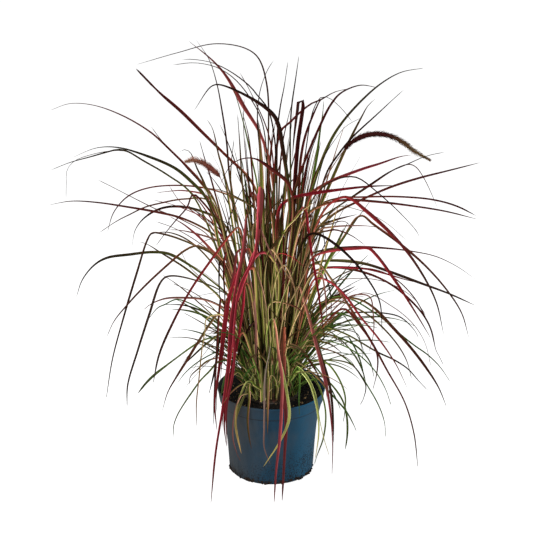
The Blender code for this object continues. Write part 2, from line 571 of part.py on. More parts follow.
# ---------------------------------------------------------------- crown, blades and culms
def tube(name, points, radii, collection, material=None):
    """A tapered round stem: a curve with a bevel and filled caps, made a mesh."""
    curve = bpy.data.curves.new(name, "CURVE")
    curve.dimensions = "3D"
    curve.bevel_depth = 1.0
    curve.bevel_resolution = 1
    curve.use_fill_caps = True
    line = curve.splines.new("POLY")
    line.points.add(len(points) - 1)
    for place, radius, target in zip(points, radii, line.points):
        target.co = (*place, 1.0)
        target.radius = radius
    item = new_object(name, curve, collection)
    mesh = made_mesh(item, name)
    bpy.data.objects.remove(item, do_unlink=True)
    tidy = bmesh.new()
    tidy.from_mesh(mesh)
    bmesh.ops.remove_doubles(tidy, verts=tidy.verts, dist=0.00002)
    bmesh.ops.recalc_face_normals(tidy, faces=tidy.faces)
    tidy.to_mesh(mesh)
    tidy.free()
    shade_round(mesh, 50)
    return new_object(name, mesh, collection, material)


def stretch(points, along, start, end, count):
    """Evenly spaced places on a route between two lengths."""
    wanted = np.linspace(start, end, count)
    return np.stack([np.interp(wanted, along, points[:, k]) for k in range(3)], axis=1)


def make_crown(shoots, parts, cutters):
    """The mound with all of its tillers, fused to one piece."""
    material = new_material("crown_sheaths", (0.120, 0.135, 0.035), 0.60)
    base = SOIL_TOP + FIT_GAP
    dome = [(CROWN_RADIUS * math.sin(angle), base + MOUND_HEIGHT * math.cos(angle) ** 0.8)
            for angle in (math.radians(step) for step in (0, 28, 50, 68, 80))]
    profile = dome + [(CROWN_RADIUS, base + 1 * MM), (CROWN_RADIUS - 0.6 * MM, base), (0.0, base)]
    blank = turned("crown_blank", profile, MOUND_SIDES, cutters, None)
    mound_mesh = made_mesh(blank, "crown")
    bpy.data.objects.remove(blank, do_unlink=True)
    crown = new_object("crown", mound_mesh, parts, material)
    joined = bmesh.new()
    for shoot in shoots:
        route = shoot.current()
        points = stretch(route, shoot.along, 0.0, shoot.tiller, TILLER_RINGS)
        foot = points[0] - (points[1] - points[0]) / np.linalg.norm(points[1] - points[0]) * 6 * MM
        foot[2] = max(foot[2], base + 2 * MM)
        points = np.vstack([foot, points])
        radii = [TILLER_RADIUS[0]] + list(np.linspace(*TILLER_RADIUS, TILLER_RINGS))
        stem = tube("tiller", points, radii, cutters)
        joined.from_mesh(stem.data)
        bpy.data.objects.remove(stem, do_unlink=True)
    tillers_mesh = bpy.data.meshes.new("tillers")
    joined.to_mesh(tillers_mesh)
    joined.free()
    tillers = new_object("tillers", tillers_mesh, cutters)
    tillers.hide_render = True
    tillers.display_type = "WIRE"
    union = crown.modifiers.new("grown_together", "BOOLEAN")
    union.operation = "UNION"
    union.solver = "EXACT"
    union.object = tillers
    return crown


def blade_stations(shoot, route, start):
    """Lengths along a route for the sections of a blade, closer together where it bends."""
    along = shoot.along
    tangent = np.gradient(route, along, axis=0)
    tangent /= np.linalg.norm(tangent, axis=1)[:, None]
    bend = np.concatenate(([0.0], np.linalg.norm(np.diff(tangent, axis=0), axis=1)))
    bend = np.minimum(bend, 0.35)
    weight = np.concatenate(([0.0], np.diff(along))) / shoot.length + 0.16 * bend
    total = np.cumsum(weight)
    first = np.interp(start, along, total)
    wanted = np.linspace(first, total[-1], BLADE_STATIONS)
    return np.interp(wanted, total, along)


def section_plane(places, index):
    """The direction that halves the turn at a section, and how much the turn stretches it."""
    here = Vector(places[index])
    ways = []
    if index > 0:
        ways.append((here - Vector(places[index - 1])).normalized())
    if index < len(places) - 1:
        ways.append((Vector(places[index + 1]) - here).normalized())
    joined = sum(ways, Vector())
    return joined.normalized(), len(ways) / max(joined.length, 0.6 * len(ways))


def make_blade(shoot, parts, material):
    """A closed blade with a keel: a loft of flat V sections along the route."""
    route = shoot.current()
    start = shoot.tiller + 0.6 * MM
    stations = blade_stations(shoot, route, start)
    places = np.stack([np.interp(stations, shoot.along, route[:, k]) for k in range(3)], axis=1)
    tip = Vector(route[-1])
    heading = Vector((tip.x - route[0][0], tip.y - route[0][1], 0.0)).normalized()
    side_wish = Vector((0, 0, 1)).cross(heading)
    if side_wish.x < 0:
        side_wish = -side_wish
    side_wish = (side_wish + Vector((0.35, 0, 0))).normalized()
    form = bmesh.new()
    rings = []
    for index, place in enumerate(places):
        direction, miter = section_plane(places, index)
        side = (side_wish - side_wish.dot(direction) * direction).normalized()
        up = side.cross(direction) * miter
        share = (stations[index] - start) / (shoot.length - start)
        width = blade_width(shoot.width * MM, share)
        thick = mix(*BLADE_THICKNESS, share)
        keel = KEEL_DEPTH * width
        middle = Vector(place)
        ring = [middle - side * width / 2 + up * keel / 2,
                middle - up * (keel / 2 + thick / 2),
                middle + side * width / 2 + up * keel / 2,
                middle - up * (keel / 2 - thick / 2)]
        rings.append([form.verts.new(point) for point in ring])
    # The upper and lower walls are cut along the same diagonals, so they never meet in a fold.
    for low, high in zip(rings, rings[1:]):
        for edge, middle in ((0, 1), (2, 3)):
            form.faces.new((low[edge], low[middle], high[middle]))
            form.faces.new((low[edge], high[middle], high[edge]))
        for middle, edge in ((1, 2), (3, 0)):
            form.faces.new((low[middle], low[edge], high[middle]))
            form.faces.new((low[edge], high[edge], high[middle]))
    for ring, turn in ((rings[0], -1), (rings[-1], 1)):
        for triangle in ((0, 1, 3), (1, 2, 3)):
            form.faces.new([ring[corner] for corner in triangle][::turn])
    bmesh.ops.recalc_face_normals(form, faces=form.faces)
    mesh = bpy.data.meshes.new(shoot.name)
    form.to_mesh(mesh)
    form.free()
    shade_round(mesh, 60)
    return new_object(shoot.name, mesh, parts, material)


def make_culm(shoot, side_name, plume_width, plume_length, parts, stem_material, plume_material):
    """A thin culm on its tiller, and the plume that ends it."""
    route = shoot.current()
    plume_start = shoot.length - plume_length * CM
    start = shoot.tiller + 0.6 * MM
    points = stretch(route, shoot.along, start, plume_start, CULM_RINGS)
    radii = np.linspace(*CULM_RADIUS, len(points))
    tube(f"culm_{side_name}", points, radii, parts, stem_material)
    points = stretch(route, shoot.along, plume_start + 0.8 * MM, shoot.length, PLUME_RINGS)
    shares = np.linspace(0, 1, len(points))
    radii = [plume_width * MM / 2 * (0.30 + 0.70 * smooth(share / 0.22)) * (1 - 0.86 * share ** 2.2)
             for share in shares]
    tube(f"plume_{side_name}", points, radii, parts, plume_material)


def leaf_color(name, index):
    """Dark maroon to olive and crimson blades, as the shoots of one clump vary."""
    if name.startswith("leaf_front"):
        return (0.30, 0.025, 0.035)
    return ((0.085, 0.022, 0.022), (0.120, 0.110, 0.035), (0.150, 0.030, 0.035))[index % 3]


def main():
    clear_scene()
    parts = new_collection("potted_fountain_grass")
    cutters = new_collection("cutters_and_blanks")
    make_pot(parts, cutters)
    make_soil(parts)
    shoots = [Shoot(*leaf) for leaf in LEAVES]
    culms = [Shoot(f"culm_{name}", width, route) for name, width, _, route in CULMS]
    every = shoots + culms
    roots = spread_roots([shoot.places[0] for shoot in every])
    for shoot, root in zip(every, roots):
        shoot.set_root(root)
    part_shoots(every)
    make_crown(every, parts, cutters)
    for index, shoot in enumerate(shoots):
        material = new_material(f"{shoot.name}_blade", leaf_color(shoot.name, index), 0.45)
        make_blade(shoot, parts, material)
    stem_material = new_material("culm_stem", (0.20, 0.16, 0.06), 0.55)
    plume_material = new_material("plume_bristles", (0.16, 0.045, 0.050), 0.90)
    for shoot, (name, width, length, _) in zip(culms, CULMS):
        make_culm(shoot, name, width, length, parts, stem_material, plume_material)


main()
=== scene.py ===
"""Potted red fountain grass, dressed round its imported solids.

Run as a script: it loads the solids as a frame, builds each visible piece of the plant over them,
gives every surface its material, and sets the stage. Lengths are metres, +Z is up and the side
that the camera sees is -Y.
"""

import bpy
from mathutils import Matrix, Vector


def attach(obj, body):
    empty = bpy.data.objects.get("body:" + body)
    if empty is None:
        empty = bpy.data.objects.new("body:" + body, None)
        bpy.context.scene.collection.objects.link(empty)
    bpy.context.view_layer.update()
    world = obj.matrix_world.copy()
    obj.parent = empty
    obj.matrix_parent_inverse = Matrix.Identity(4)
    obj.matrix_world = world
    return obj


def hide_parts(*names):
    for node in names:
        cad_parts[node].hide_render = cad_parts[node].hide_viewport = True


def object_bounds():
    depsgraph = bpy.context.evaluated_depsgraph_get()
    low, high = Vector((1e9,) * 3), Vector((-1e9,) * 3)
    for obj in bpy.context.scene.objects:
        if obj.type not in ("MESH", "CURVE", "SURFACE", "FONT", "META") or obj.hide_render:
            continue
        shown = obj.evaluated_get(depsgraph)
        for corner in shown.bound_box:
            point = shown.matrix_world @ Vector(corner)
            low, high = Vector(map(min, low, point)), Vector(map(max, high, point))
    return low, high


bl_info = {
    "name": "Potted Fountain Grass",
    "version": (1, 0, 0),
    "blender": (4, 5, 0),
    "location": "3D View > Sidebar > Grass",
    "description": "Blades, plumes, soil and nursery pot of a red fountain grass",
    "category": "Object",
}

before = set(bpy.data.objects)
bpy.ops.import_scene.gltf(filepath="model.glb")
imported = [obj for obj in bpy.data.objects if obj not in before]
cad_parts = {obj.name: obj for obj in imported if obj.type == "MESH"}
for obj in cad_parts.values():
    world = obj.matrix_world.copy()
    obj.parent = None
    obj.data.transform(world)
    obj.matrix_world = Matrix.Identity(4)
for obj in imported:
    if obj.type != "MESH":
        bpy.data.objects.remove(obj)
CAD_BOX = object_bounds()

import math
import random

import bmesh
import bpy
import numpy as np
from bpy.props import (FloatProperty, FloatVectorProperty, IntProperty, PointerProperty)
from mathutils import Matrix, Vector, noise

MM = 0.001
CM = 0.01

# Pot, as the solid has it.
POT_HEIGHT = 180 * MM
RIM_RADIUS = 110 * MM
COLLAR_FOOT = 154 * MM
COLLAR_FOOT_RADIUS = 105.5 * MM
LEDGE_RADIUS = 104 * MM
WALL = 1.8 * MM
FLOOR = 2.5 * MM
WALL_SHAPE = ((9 * MM, 87 * MM), (60 * MM, 90.2 * MM), (104 * MM, 94 * MM), (130 * MM, 98.8 * MM),
              (150 * MM, 103.4 * MM))
DRAIN_NOTCHES = 8
SOIL_TOP = 166 * MM
CROWN_RADIUS = 58 * MM
# Inside this round space the blades are green and tan.
CLUMP_RADIUS = 112 * MM
CLUMP_HEIGHT = 400 * MM
MOUND_HEIGHT = 11 * MM
# The drain notches' turn, as a share of their spacing; their middle and size; the lumps' reach.
NOTCH_TURN = 0.37
NOTCH_REACH = 84 * MM
NOTCH_SIZE = (15 * MM, 14 * MM, 9 * MM, 1.0)
FOOT_REACH = 86.2 * MM
# The gap between the soil and the pot's wall.
SOIL_GAP = 1.2 * MM
# Corners along each fine blade's route, and what its drawn width is multiplied by.
SHOWN_ROWS = 64
SEEDED_ROWS = 44
FINE_GAIN = 1.22
# Thickness of a blade along its middle, at the foot and at the tip.
LONG_THICKNESS = (0.9 * MM, 0.16 * MM)
FINE_THICKNESS = (0.6 * MM, 0.12 * MM)
# Angles in degrees from which an edge stays sharp.
LONG_CREASE = 34
FINE_CREASE = 30
POT_CREASE = 42
# The turn from one spikelet of a plume to the next, in radians.
GOLDEN_ANGLE = 2.39996
# Half the width of the stage's floor, and the brightness of what the camera sees behind it.
FLOOR_REACH = 9
BACKDROP = 1.3

# Routes are read on the upright plane through the pot's axis, in centimetres, from this point.
VIEW_POINT = Vector((-0.0098, -2.7189, 1.4479))
VIEW_PITCH = 20.3367


# ---------------------------------------------------------------- settings
def tint(red, green, blue):
    """A display colour from 0 to 255 as linear values."""
    def linear(value):
        value /= 255
        return value / 12.92 if value <= 0.04045 else ((value + 0.055) / 1.055) ** 2.4
    return (linear(red), linear(green), linear(blue))


COLOR = dict(subtype="COLOR", size=3, min=0, max=1)


class PotSettings(bpy.types.PropertyGroup):
    wall_color: FloatVectorProperty(name="Wall colour", description="Colour of the moulded plastic",
                                    default=tint(26, 62, 84), **COLOR)
    dust_color: FloatVectorProperty(name="Dust colour", description="Dry soil dust on the wall",
                                    default=tint(104, 92, 74), **COLOR)
    # Painted light: the lighter, bluer tone that the right side of the wall takes.
    painted_light_color: FloatVectorProperty(name="Painted light colour", description="Painted light on the right side of the plastic",
                                     default=tint(34, 100, 134), **COLOR)
    # This colour also paints the shade on the ledge under the collar.
    grime_and_shade_color: FloatVectorProperty(name="Grime and shade colour", description="Damp soil at the foot",
                                     default=tint(30, 26, 24), **COLOR)
    dust: FloatProperty(name="Dust", description="How much dust lies on the wall", subtype="FACTOR",
                        min=0, max=1, default=0.5)
    sides: IntProperty(name="Sides", description="Faces round the pot's wall", min=48, max=256,
                       default=144)


class BladeSettings(bpy.types.PropertyGroup):
    keel: FloatProperty(name="Keel", description="Depth of the fold, as a share of the blade's width",
                        subtype="FACTOR", min=0.05, max=0.6, default=0.30)
    tip_width: FloatProperty(name="Tip width", description="Width of a blade's tip",
                             subtype="DISTANCE", unit="LENGTH", min=0.00005, max=0.002,
                             default=0.00022)
    facing: FloatProperty(name="Facing", description="How far the blades turn their breadth to the seen side",
                          subtype="FACTOR", min=0, max=1, default=0.7)
    stripe: FloatProperty(name="Stripes", description="Strength of the lengthwise stripes",
                          subtype="FACTOR", min=0, max=1, default=0.55)
    fullness: FloatProperty(name="Fullness", description="Share of the seeded filler blades",
                            subtype="FACTOR", min=0, max=1, default=1.0)


class SoilSettings(bpy.types.PropertyGroup):
    color: FloatVectorProperty(name="Soil colour", description="Colour of the moist soil",
                               default=tint(14, 11, 8), **COLOR)
    crumbs: IntProperty(name="Crumbs", description="Number of loose crumbs", min=0, max=6000,
                        default=2000)


class PlumeSettings(bpy.types.PropertyGroup):
    bristle_length: FloatProperty(name="Bristle length", description="Length of a bristle",
                                  subtype="DISTANCE", unit="LENGTH", min=0.002, max=0.02,
                                  default=0.012)
    bristles: IntProperty(name="Bristles", description="Bristles on ten centimetres of plume",
                          min=100, max=4000, default=1300)


class StageSettings(bpy.types.PropertyGroup):
    key_power: FloatProperty(name="Key light", description="Power of the key light, in watts",
                             unit="POWER", min=0, max=500, default=62)
    fill_power: FloatProperty(name="Fill light", description="Power of the fill light, in watts",
                              unit="POWER", min=0, max=500, default=10)
    top_power: FloatProperty(name="Top light", description="Power of the top light, in watts",
                             unit="POWER", min=0, max=500, default=16)
    ambient: FloatProperty(name="Ambient", description="Strength of the light from all round",
                           min=0, max=3, default=0.38)
    floor_glow: FloatProperty(name="Floor glow", description="Light that the pale floor gives off",
                              min=0, max=2, default=0.8)
    lens: FloatProperty(name="Lens", description="Focal length of the camera, in millimetres",
                        subtype="DISTANCE_CAMERA", unit="CAMERA", min=20, max=300, default=98.95)


# ---------------------------------------------------------------- blade colours
# Each kind is a row of stops: share of the length, colour along the middle, colour at the edges; the edge
# colour is the pale margin and also serves as a painted highlight on the lit half.
KIND_STOPS = {
    "maroon": "0 118,138,52 210,184,134; 0.3 112,108,50 204,146,122; 0.5 96,40,28 133,49,42; "
              "0.75 74,22,20 104,30,30; 1 48,22,18 59,27,25",
    "brown": "0 122,136,56 210,182,134; 0.35 108,98,48 198,142,116; 0.6 86,45,29 123,57,44; "
             "1 52,30,22 65,33,30",
    "black": "0 112,132,50 196,172,122; 0.32 90,98,40 180,130,104; 0.55 50,32,20 84,36,30; "
             "0.75 42,20,14 62,26,22; 1 40,28,20 46,28,22",
    "ember": "0 134,140,62 200,160,116; 0.34 136,84,56 180,80,70; 0.48 136,22,32 182,50,58; "
             "0.66 112,18,26 148,38,42; 0.82 58,26,20 76,32,28; 1 44,30,22 50,30,24",
    "wine": "0 96,92,44 150,104,76; 0.3 80,30,22 150,56,50; 0.6 66,20,19 110,35,35; 1 44,20,18 58,26,24",
    "night": "0 64,62,26 92,62,40; 0.4 36,19,10 57,20,16; 1 29,13,10 36,15,14",
    "olive": "0 116,140,48 208,192,128; 0.35 106,122,44 214,168,134; 0.65 85,75,33 135,77,55; "
             "1 54,43,27 66,42,32",
    "khaki": "0 120,142,48 222,208,146; 0.45 124,136,52 228,186,150; 0.8 112,92,50 170,108,86; "
             "1 70,52,34 86,50,42",
    "pitch_olive": "0 126,144,56 180,162,100; 0.35 100,112,44 150,120,76; 0.7 47,42,20 63,39,26; "
                   "1 38,32,22 42,30,23",
    "green": "0 118,148,48 196,198,116; 0.4 98,132,42 186,176,112; 0.75 84,108,44 120,114,64; "
             "1 66,76,42 82,72,46",
    "leafgreen": "0 108,146,50 160,184,96; 0.5 74,114,44 118,142,70; 1 52,74,38 74,80,46",
    # shade: dark blades that stand in for the shade deep in the clump, a painted shade.
    "shade": "0 44,52,16 60,62,24; 0.5 34,40,12 50,42,20; 1 22,24,10 30,20,12",
    "cream": "0 120,140,54 176,184,96; 0.35 146,164,74 224,228,156; 0.7 184,190,96 232,232,160; "
             "1 190,168,92 198,176,100",
    "straw": "0 110,128,66 136,142,84; 0.62 130,128,70 152,144,84; 0.84 178,154,88 194,168,104; "
             "1 206,164,100 178,138,86",
    "crimson": "0 134,140,62 200,160,116; 0.28 136,96,58 180,84,76; 0.4 150,32,46 192,60,74; "
               "0.75 122,22,32 168,44,52; 0.92 84,25,24 104,32,32; 1 58,27,21 66,29,25",
    "folded_red": "0 132,144,56 202,182,118; 0.26 130,118,56 186,130,94; 0.33 152,42,60 204,88,102; "
                  "0.48 146,24,44 224,88,102; 0.8 132,18,38 204,76,90; 1 84,26,30 98,32,34",
    "folded_rust": "0 106,114,46 156,142,86; 0.16 112,104,46 164,120,70; 0.24 150,76,36 196,118,76; "
                   "0.46 142,62,50 196,106,92; 0.7 132,44,54 172,76,82; 1 98,36,38 116,46,48",
    "folded_salmon": "0 112,122,48 168,160,96; 0.22 130,120,60 196,156,112; 0.3 192,124,92 228,176,142; "
                     "0.5 150,72,70 210,124,114; 0.78 130,44,54 176,78,84; 1 100,36,40 116,44,48",
    "scarlet": "0 134,140,62 196,160,112; 0.2 124,110,54 170,130,92; 0.3 150,27,37 196,53,58; "
               "0.5 184,22,34 222,79,83; 0.8 130,20,32 176,49,56; 1 84,27,25 94,32,31",
    "rose": "0 138,146,66 200,162,116; 0.32 146,104,70 200,132,108; 0.6 152,66,64 212,118,114; "
            "0.85 116,44,44 150,66,64; 1 80,40,36 96,44,40",
    "mauve": "0 136,140,70 198,170,126; 0.4 150,108,90 194,134,120; 0.8 128,84,76 158,92,88; "
             "1 84,58,50 92,58,52",
    "ash": "0 140,138,92 166,150,116; 0.45 158,142,126 188,168,152; 0.8 142,112,104 164,120,112; "
           "1 120,84,76 132,92,84",
    "tan": "0 138,136,66 196,176,122; 0.5 160,128,86 214,168,134; 1 134,96,66 148,98,76",
}


def numbers(text):
    return tuple(float(value) for value in text.split(","))


def read_stops(text):
    """The stops of a kind, with linear colours."""
    rows = [stop.split() for stop in text.split(";")]
    return [(float(share), tint(*numbers(middle)), tint(*numbers(rim))) for share, middle, rim in rows]


KINDS = {kind: read_stops(text) for kind, text in KIND_STOPS.items()}

# The long blades, one row for each solid in its order: kind, twist in degrees at the base, middle and
# tip, and the widths drawn, in mm, at these shares of the length or as share,width pairs.
WIDTH_SHARES = (0, 0.15, 0.33, 0.48, 0.62, 0.75, 0.85, 0.94, 1.0)
LONG_BLADES = {
    "left": (
        ("maroon", (0, 10, 30), "2.6 3.3 4.4 4.9 5.6 5.1 3.7 2.3 0.8"),
        ("pitch_olive", (10, 0, 50), "3.2 3.5 4.4 5.0 7.4 8.0 4.5 2.2 0.7"),
        ("maroon", (10, 0, 20), "2.4 3.0 4.2 4.5 4.5 3.2 2.0 1.6 0.9"),
        ("maroon", (0, 15, 0), "0,2.6 0.15,3.3 0.33,4.4 0.48,5.2 0.62,5.8 0.75,6.6 0.85,6.6 0.91,3.8 "
         "0.93,4.6 0.98,4.0 1,1.6"),
        ("pitch_olive", (10, 0, 20), "3.2 3.5 4.4 6.2 6.6 5.9 4.2 2.4 0.9"),
        ("black", (0, 20, 10), "2.8 3.2 3.5 3.8 4.3 3.8 2.8 1.8 0.9"),
        ("black", (10, 20, 10), "2.6 3.0 3.5 4.7 5.3 5.1 4.1 2.8 0.9"),
        ("ember", (0, 0, 20), "2.6 3.3 4.4 4.3 4.5 4.5 4.4 3.6 0.9"),
        ("maroon", (10, 30, 40), "2.0 2.5 3.4 4.8 5.4 5.4 5.2 3.8 0.9"),
        ("black", (0, 30, 30), "2.4 3.0 4.1 5.2 5.6 4.4 2.3 1.0 0.3"),
        ("green", (0, 20, 0), "2.4 3.0 4.2 3.3 4.0 5.5 5.9 4.3 0.9"),
        ("brown", (0, 10, 20), "2.4 3.0 4.1 5.2 5.5 4.6 2.7 1.2 0.3"),
        ("khaki", (20, 30, 10), "2.2 2.8 3.8 3.2 2.8 3.0 2.7 1.7 0.6"),
        ("green", (0, 30, 20), "2.2 2.8 3.8 3.6 3.4 2.8 2.1 1.4 0.6"),
    ),
    "top": (
        ("black", (30, 40, 20), "2.4 3.0 4.1 5.0 4.8 3.4 2.6 2.0 0.7"),
        ("rose", (0, 0, 20), "3.2 3.5 4.4 5.0 6.0 8.6 4.8 2.4 0.5"),
        ("black", (20, 40, 30), "2.8 3.5 4.4 4.9 4.2 3.1 2.2 1.3 0.3"),
        ("black", (0, 0, 30), "3.0 3.2 4.4 7.4 8.4 8.0 5.6 3.0 0.9"),
        ("pitch_olive", (20, 30, 30), "2.6 3.3 4.4 3.7 3.7 3.9 3.3 2.1 0.9"),
        ("maroon", (0, 0, 30), "0,3.0 0.15,3.2 0.33,3.6 0.6,4.0 0.67,5.5 0.70,8.4 0.77,8.6 0.80,7.0 "
         "0.84,3.4 0.9,2.8 0.97,1.8 1,0.9"),
    ),
    "right": (
        ("pitch_olive", (0, 10, 30), "3.2 3.5 4.4 5.9 5.8 4.6 2.9 1.7 0.9"),
        ("maroon", (0, 10, 30), "2.8 3.5 4.4 4.8 4.9 4.6 3.8 2.3 0.9"),
        ("maroon", (10, 10, 0), "3.2 3.5 4.4 5.4 5.4 5.0 4.3 2.9 0.6"),
        ("brown", (20, 20, 30), "2.0 2.5 3.5 4.1 3.9 3.5 3.0 1.8 0.5"),
        ("maroon", (10, 0, 10), "3.2 3.5 4.4 5.7 5.5 4.9 4.2 2.9 0.6"),
        ("ember", (0, 0, 10), "3.2 3.5 4.4 5.2 7.6 5.8 4.0 2.4 0.6"),
        ("brown", (0, 0, 20), "3.2 3.5 4.4 5.8 5.4 4.2 3.2 2.2 0.4"),
        ("maroon", (0, 10, 20), "3.2 3.5 4.4 5.7 4.3 2.6 2.0 1.5 0.3"),
        ("crimson", (0, 0, 10), "3.2 3.5 4.4 6.6 6.6 5.5 4.1 2.2 0.4"),
        ("black", (10, 10, 0), "3.2 3.5 4.4 7.4 6.4 5.7 4.7 3.1 0.7"),
        ("maroon", (10, 0, 10), "2.8 3.5 4.4 5.3 4.9 4.4 4.1 3.2 0.9"),
        ("night", (0, 0, 30), "3.2 3.5 4.4 5.5 5.3 4.2 3.0 1.9 0.7"),
        ("maroon", (0, 0, 10), "3.2 3.5 4.4 5.4 4.2 3.1 2.9 2.4 0.9"),
        ("crimson", (0, 10, 20), "3.0 3.5 4.4 4.7 4.8 4.3 3.0 1.7 0.5"),
        ("brown", (10, 0, 20), "2.8 3.5 4.4 6.9 6.9 5.7 4.1 2.1 0.6"),
        ("green", (20, 20, 30), "2.2 2.8 3.8 4.5 4.5 5.3 5.7 4.2 0.9"),
        ("crimson", (0, 0, 20), "2.8 3.5 4.4 6.3 7.1 7.1 5.8 3.2 0.9"),
    ),
    "front": (
        ("folded_red", (0, 0, 20), "0,4.2 0.30,4.0 0.34,4.4 0.38,7.0 0.45,7.6 0.52,5.4 0.65,5.0 0.8,4.8 "
         "0.92,3.8 1,0.9"),
        ("folded_red", (0, 0, 20), "0,4.2 0.30,4.6 0.36,7.0 0.375,12.0 0.40,13.0 0.45,12.2 0.49,9.0 "
         "0.53,6.2 0.58,4.6 0.64,4.4 0.8,4.6 0.92,3.6 1,0.9"),
        ("folded_red", (0, 20, 30), "3.0 3.3 5.0 6.4 6.4 6.0 5.2 3.6 0.9"),
        ("ash", (0, 10, 20), "2.8 2.8 2.9 3.4 3.7 3.7 3.1 2.0 0.9"),
        ("cream", (0, 20, 40), "2.5 2.7 3.6 5.2 6.3 6.3 4.9 2.8 0.9"),
        ("folded_salmon", (0, 10, 20), "2.6 3.8 4.7 6.1 6.3 5.8 4.9 3.2 0.9"),
        ("folded_rust", (0, 10, 20), "0,3.2 0.12,8 0.2,11.5 0.36,11 0.42,8.5 0.5,7.4 0.62,7.2 0.75,6.2 "
         "0.85,5.2 0.94,3.8 1,0.9"),
        ("straw", (10, 20, 30), "2.4 3.0 4.1 5.1 5.7 5.5 4.6 3.0 0.9"),
        ("cream", (0, 0, 30), "3.0 3.5 4.3 2.6 1.8 1.5 1.4 1.5 0.9"),
        ("folded_salmon", (0, 10, 20), "0,3.2 0.15,3.8 0.29,4.4 0.33,5.4 0.45,6.2 0.55,6.4 0.60,7.6 "
         "0.66,7.4 0.70,5.6 0.75,4.4 0.8,3.4 0.85,2.6 0.92,2.2 1,0.9"),
    ),
    "back": (
        ("maroon", (0, 10, 20), "3.2 3.5 4.4 5.2 5.2 5.2 5.2 4.1 0.9"),
        ("olive", (0, 0, 20), "3.2 3.5 4.4 5.2 5.2 5.2 5.2 4.1 0.9"),
        ("crimson", (0, 10, 20), "3.0 3.5 4.4 5.2 5.2 5.2 5.2 3.7 0.9"),
        ("black", (0, 0, 20), "3.2 3.5 4.4 5.2 5.2 5.2 5.2 3.9 0.9"),
        ("olive", (0, 10, 20), "3.2 3.5 4.4 5.2 5.2 5.2 5.2 3.9 0.9"),
    ),
}
BLADES = {f"leaf_{side}_{number}": look for side, looks in LONG_BLADES.items()
          for number, look in enumerate(looks, 1)}

# Finer blades, one route each from the core to the tip: kind, width in mm, depth in front of the
# plane at the first and last place in cm, and the places as x,z in cm. A cut one ends blunt.
FINE_LEFT = (
    "pitch_olive 3 2 -8 -15.5,59 -20,62.8 -24.8,65.8 -27.9,67.7 -29.5,68 -31.2,67.6 -35,66.5 -38.9,65.4 "
     "-42.6,63.9",
    "black 1.2 1 -8 -15.5,59 -20,62.8 -24.8,65.8 -27.9,67.6 -31,67.7 -35,66.9 -38,65.7 -39.5,63.9 -39.8,61 "
     "-40,58",
    "maroon 2.2 -2 6 -12,58.5 -16.5,64.5 -21.4,70.2 -23,72.5",
    "olive 3.5 2 -7 -9.2,63 -10.2,66.9 -11.3,72.1 -12.3,73.9",
    "maroon 3 0 6 -11.5,61.3 -12.7,65.5 -13.8,69.7",
    "olive 4.1 4 8 -12.9,60.9 -14.4,64.3 -15.7,67.5 -16.7,68 -17.6,67.6",
    "brown 3.6 4 14 -8.5,42 -11,46 -14.6,48.4 -17.1,47.4 -20,44.9 -25,40.1 -28.7,36 -31.6,32.3 -33.2,28.8",
    "wine 3.2 2 8 -10,52 -13.5,57.5 -15.3,59 -16.5,56.3 -18.7,53.7 -20.7,51.2 -22.8,48.3",
    "brown 2.8 -1 -12 -12,57.5 -17,58 -21.9,57.1 -24.8,56.3 -27.8,54.8 -30.1,53.6 -33.8,51.1",
    "brown 1.8 -2 4 -12,50 -17,53.5 -22.8,56.1 -24.7,57.1 -28.4,59.1 -31.5,60.8 -33.6,61.9",
    "rose 3.3 -2 -8 -12,58 -16.8,59.7 -20.7,59.5 -22.3,59.3",
    "rose 2.1 3 7 -9,50 -12,53.5 -17,56 -19.6,57 -22.9,57.8",
    "rose 4.6 5 9 -9,44 -12.3,48.1 -14.6,50.6 -17.3,52.9 -20,54.5",
    "mauve 3.3 3 9 -8,47.5 -11,49.6 -14,50.7 -17.9,51.6 -20.1,51.7",
    "mauve 4 -2 8 -8,34 -10.2,35.6 -13.3,37 -17.4,37.4 -21.3,37.2 -24.1,36 -25.7,34.7",
    "leafgreen 2.5 -4 -24 -8.5,30.5 -10.9,32.5 -13.3,34.4 -16.4,36.2 -18.9,37 -21.3,35.9 -22.7,35.2 "
     "-25,32.3",
    "pitch_olive 3.2 3 6 -9.7,31.3 -12.1,33.5 -14.5,34.8 -17.7,35.8 -21.3,35.9",
    "olive 1.8 -4 -10 -11,34.3 -13.7,37.1 -15.6,38.5 -19.6,40.4",
    "olive 2.1 4 8 -10.1,29.3 -12.9,31.3 -16.1,33.3 -17.5,34.1",
    "olive 3.6 -2 -9 -10.1,37.1 -13.2,40.3 -17.1,43.7 -21.8,46.9 -24.7,48.8 -25.9,49.1",
    "night 3.4 5 8 -9,44 -10.1,45.2 -10.4,42.2 -10.3,38 -10.1,35.8",
    "olive 6 1 2 -8.5,40 -9.8,46 -10.7,50.6 -11.4,54.8 -12.9,58.6 -14.3,60.3",
    "pitch_olive 3.8 2 8 -8,28.6 -10.5,29.3 -12.8,27.7 -15.5,25.1 -17.5,22.9 -18.2,21.6",
    "mauve 1.8 5 8 -8,23 -9.4,24 -11.1,24.3 -13.5,23 -14.3,22.3",
    "olive 2.8 3 9 -8,23 -10,24.3 -13,23.6 -14.7,22 -16.3,20.4 -16.7,19.3 -16.6,18.4",
    "night 4 6 11 -8.6,28.6 -10,29 -10.5,28.2 -11,24.7 -11.6,21.1 -12.4,17.6 -12.8,16.1",
    "olive 1.5 0 -12 -9,35 -13,40.5 -16.4,44.2 -18,47.6",
    "mauve 2.2 1 5 -10.5,50.3 -13.8,54.2 -17.8,57.5 -19.8,60.6",
    "brown 1.7 -2 -6 -10,45 -14,48.8 -19,52 -22.6,53.4",
    "olive 2.2 -2 -9 -9,30.5 -13,34.8 -18.5,40 -21.5,42.2",
)
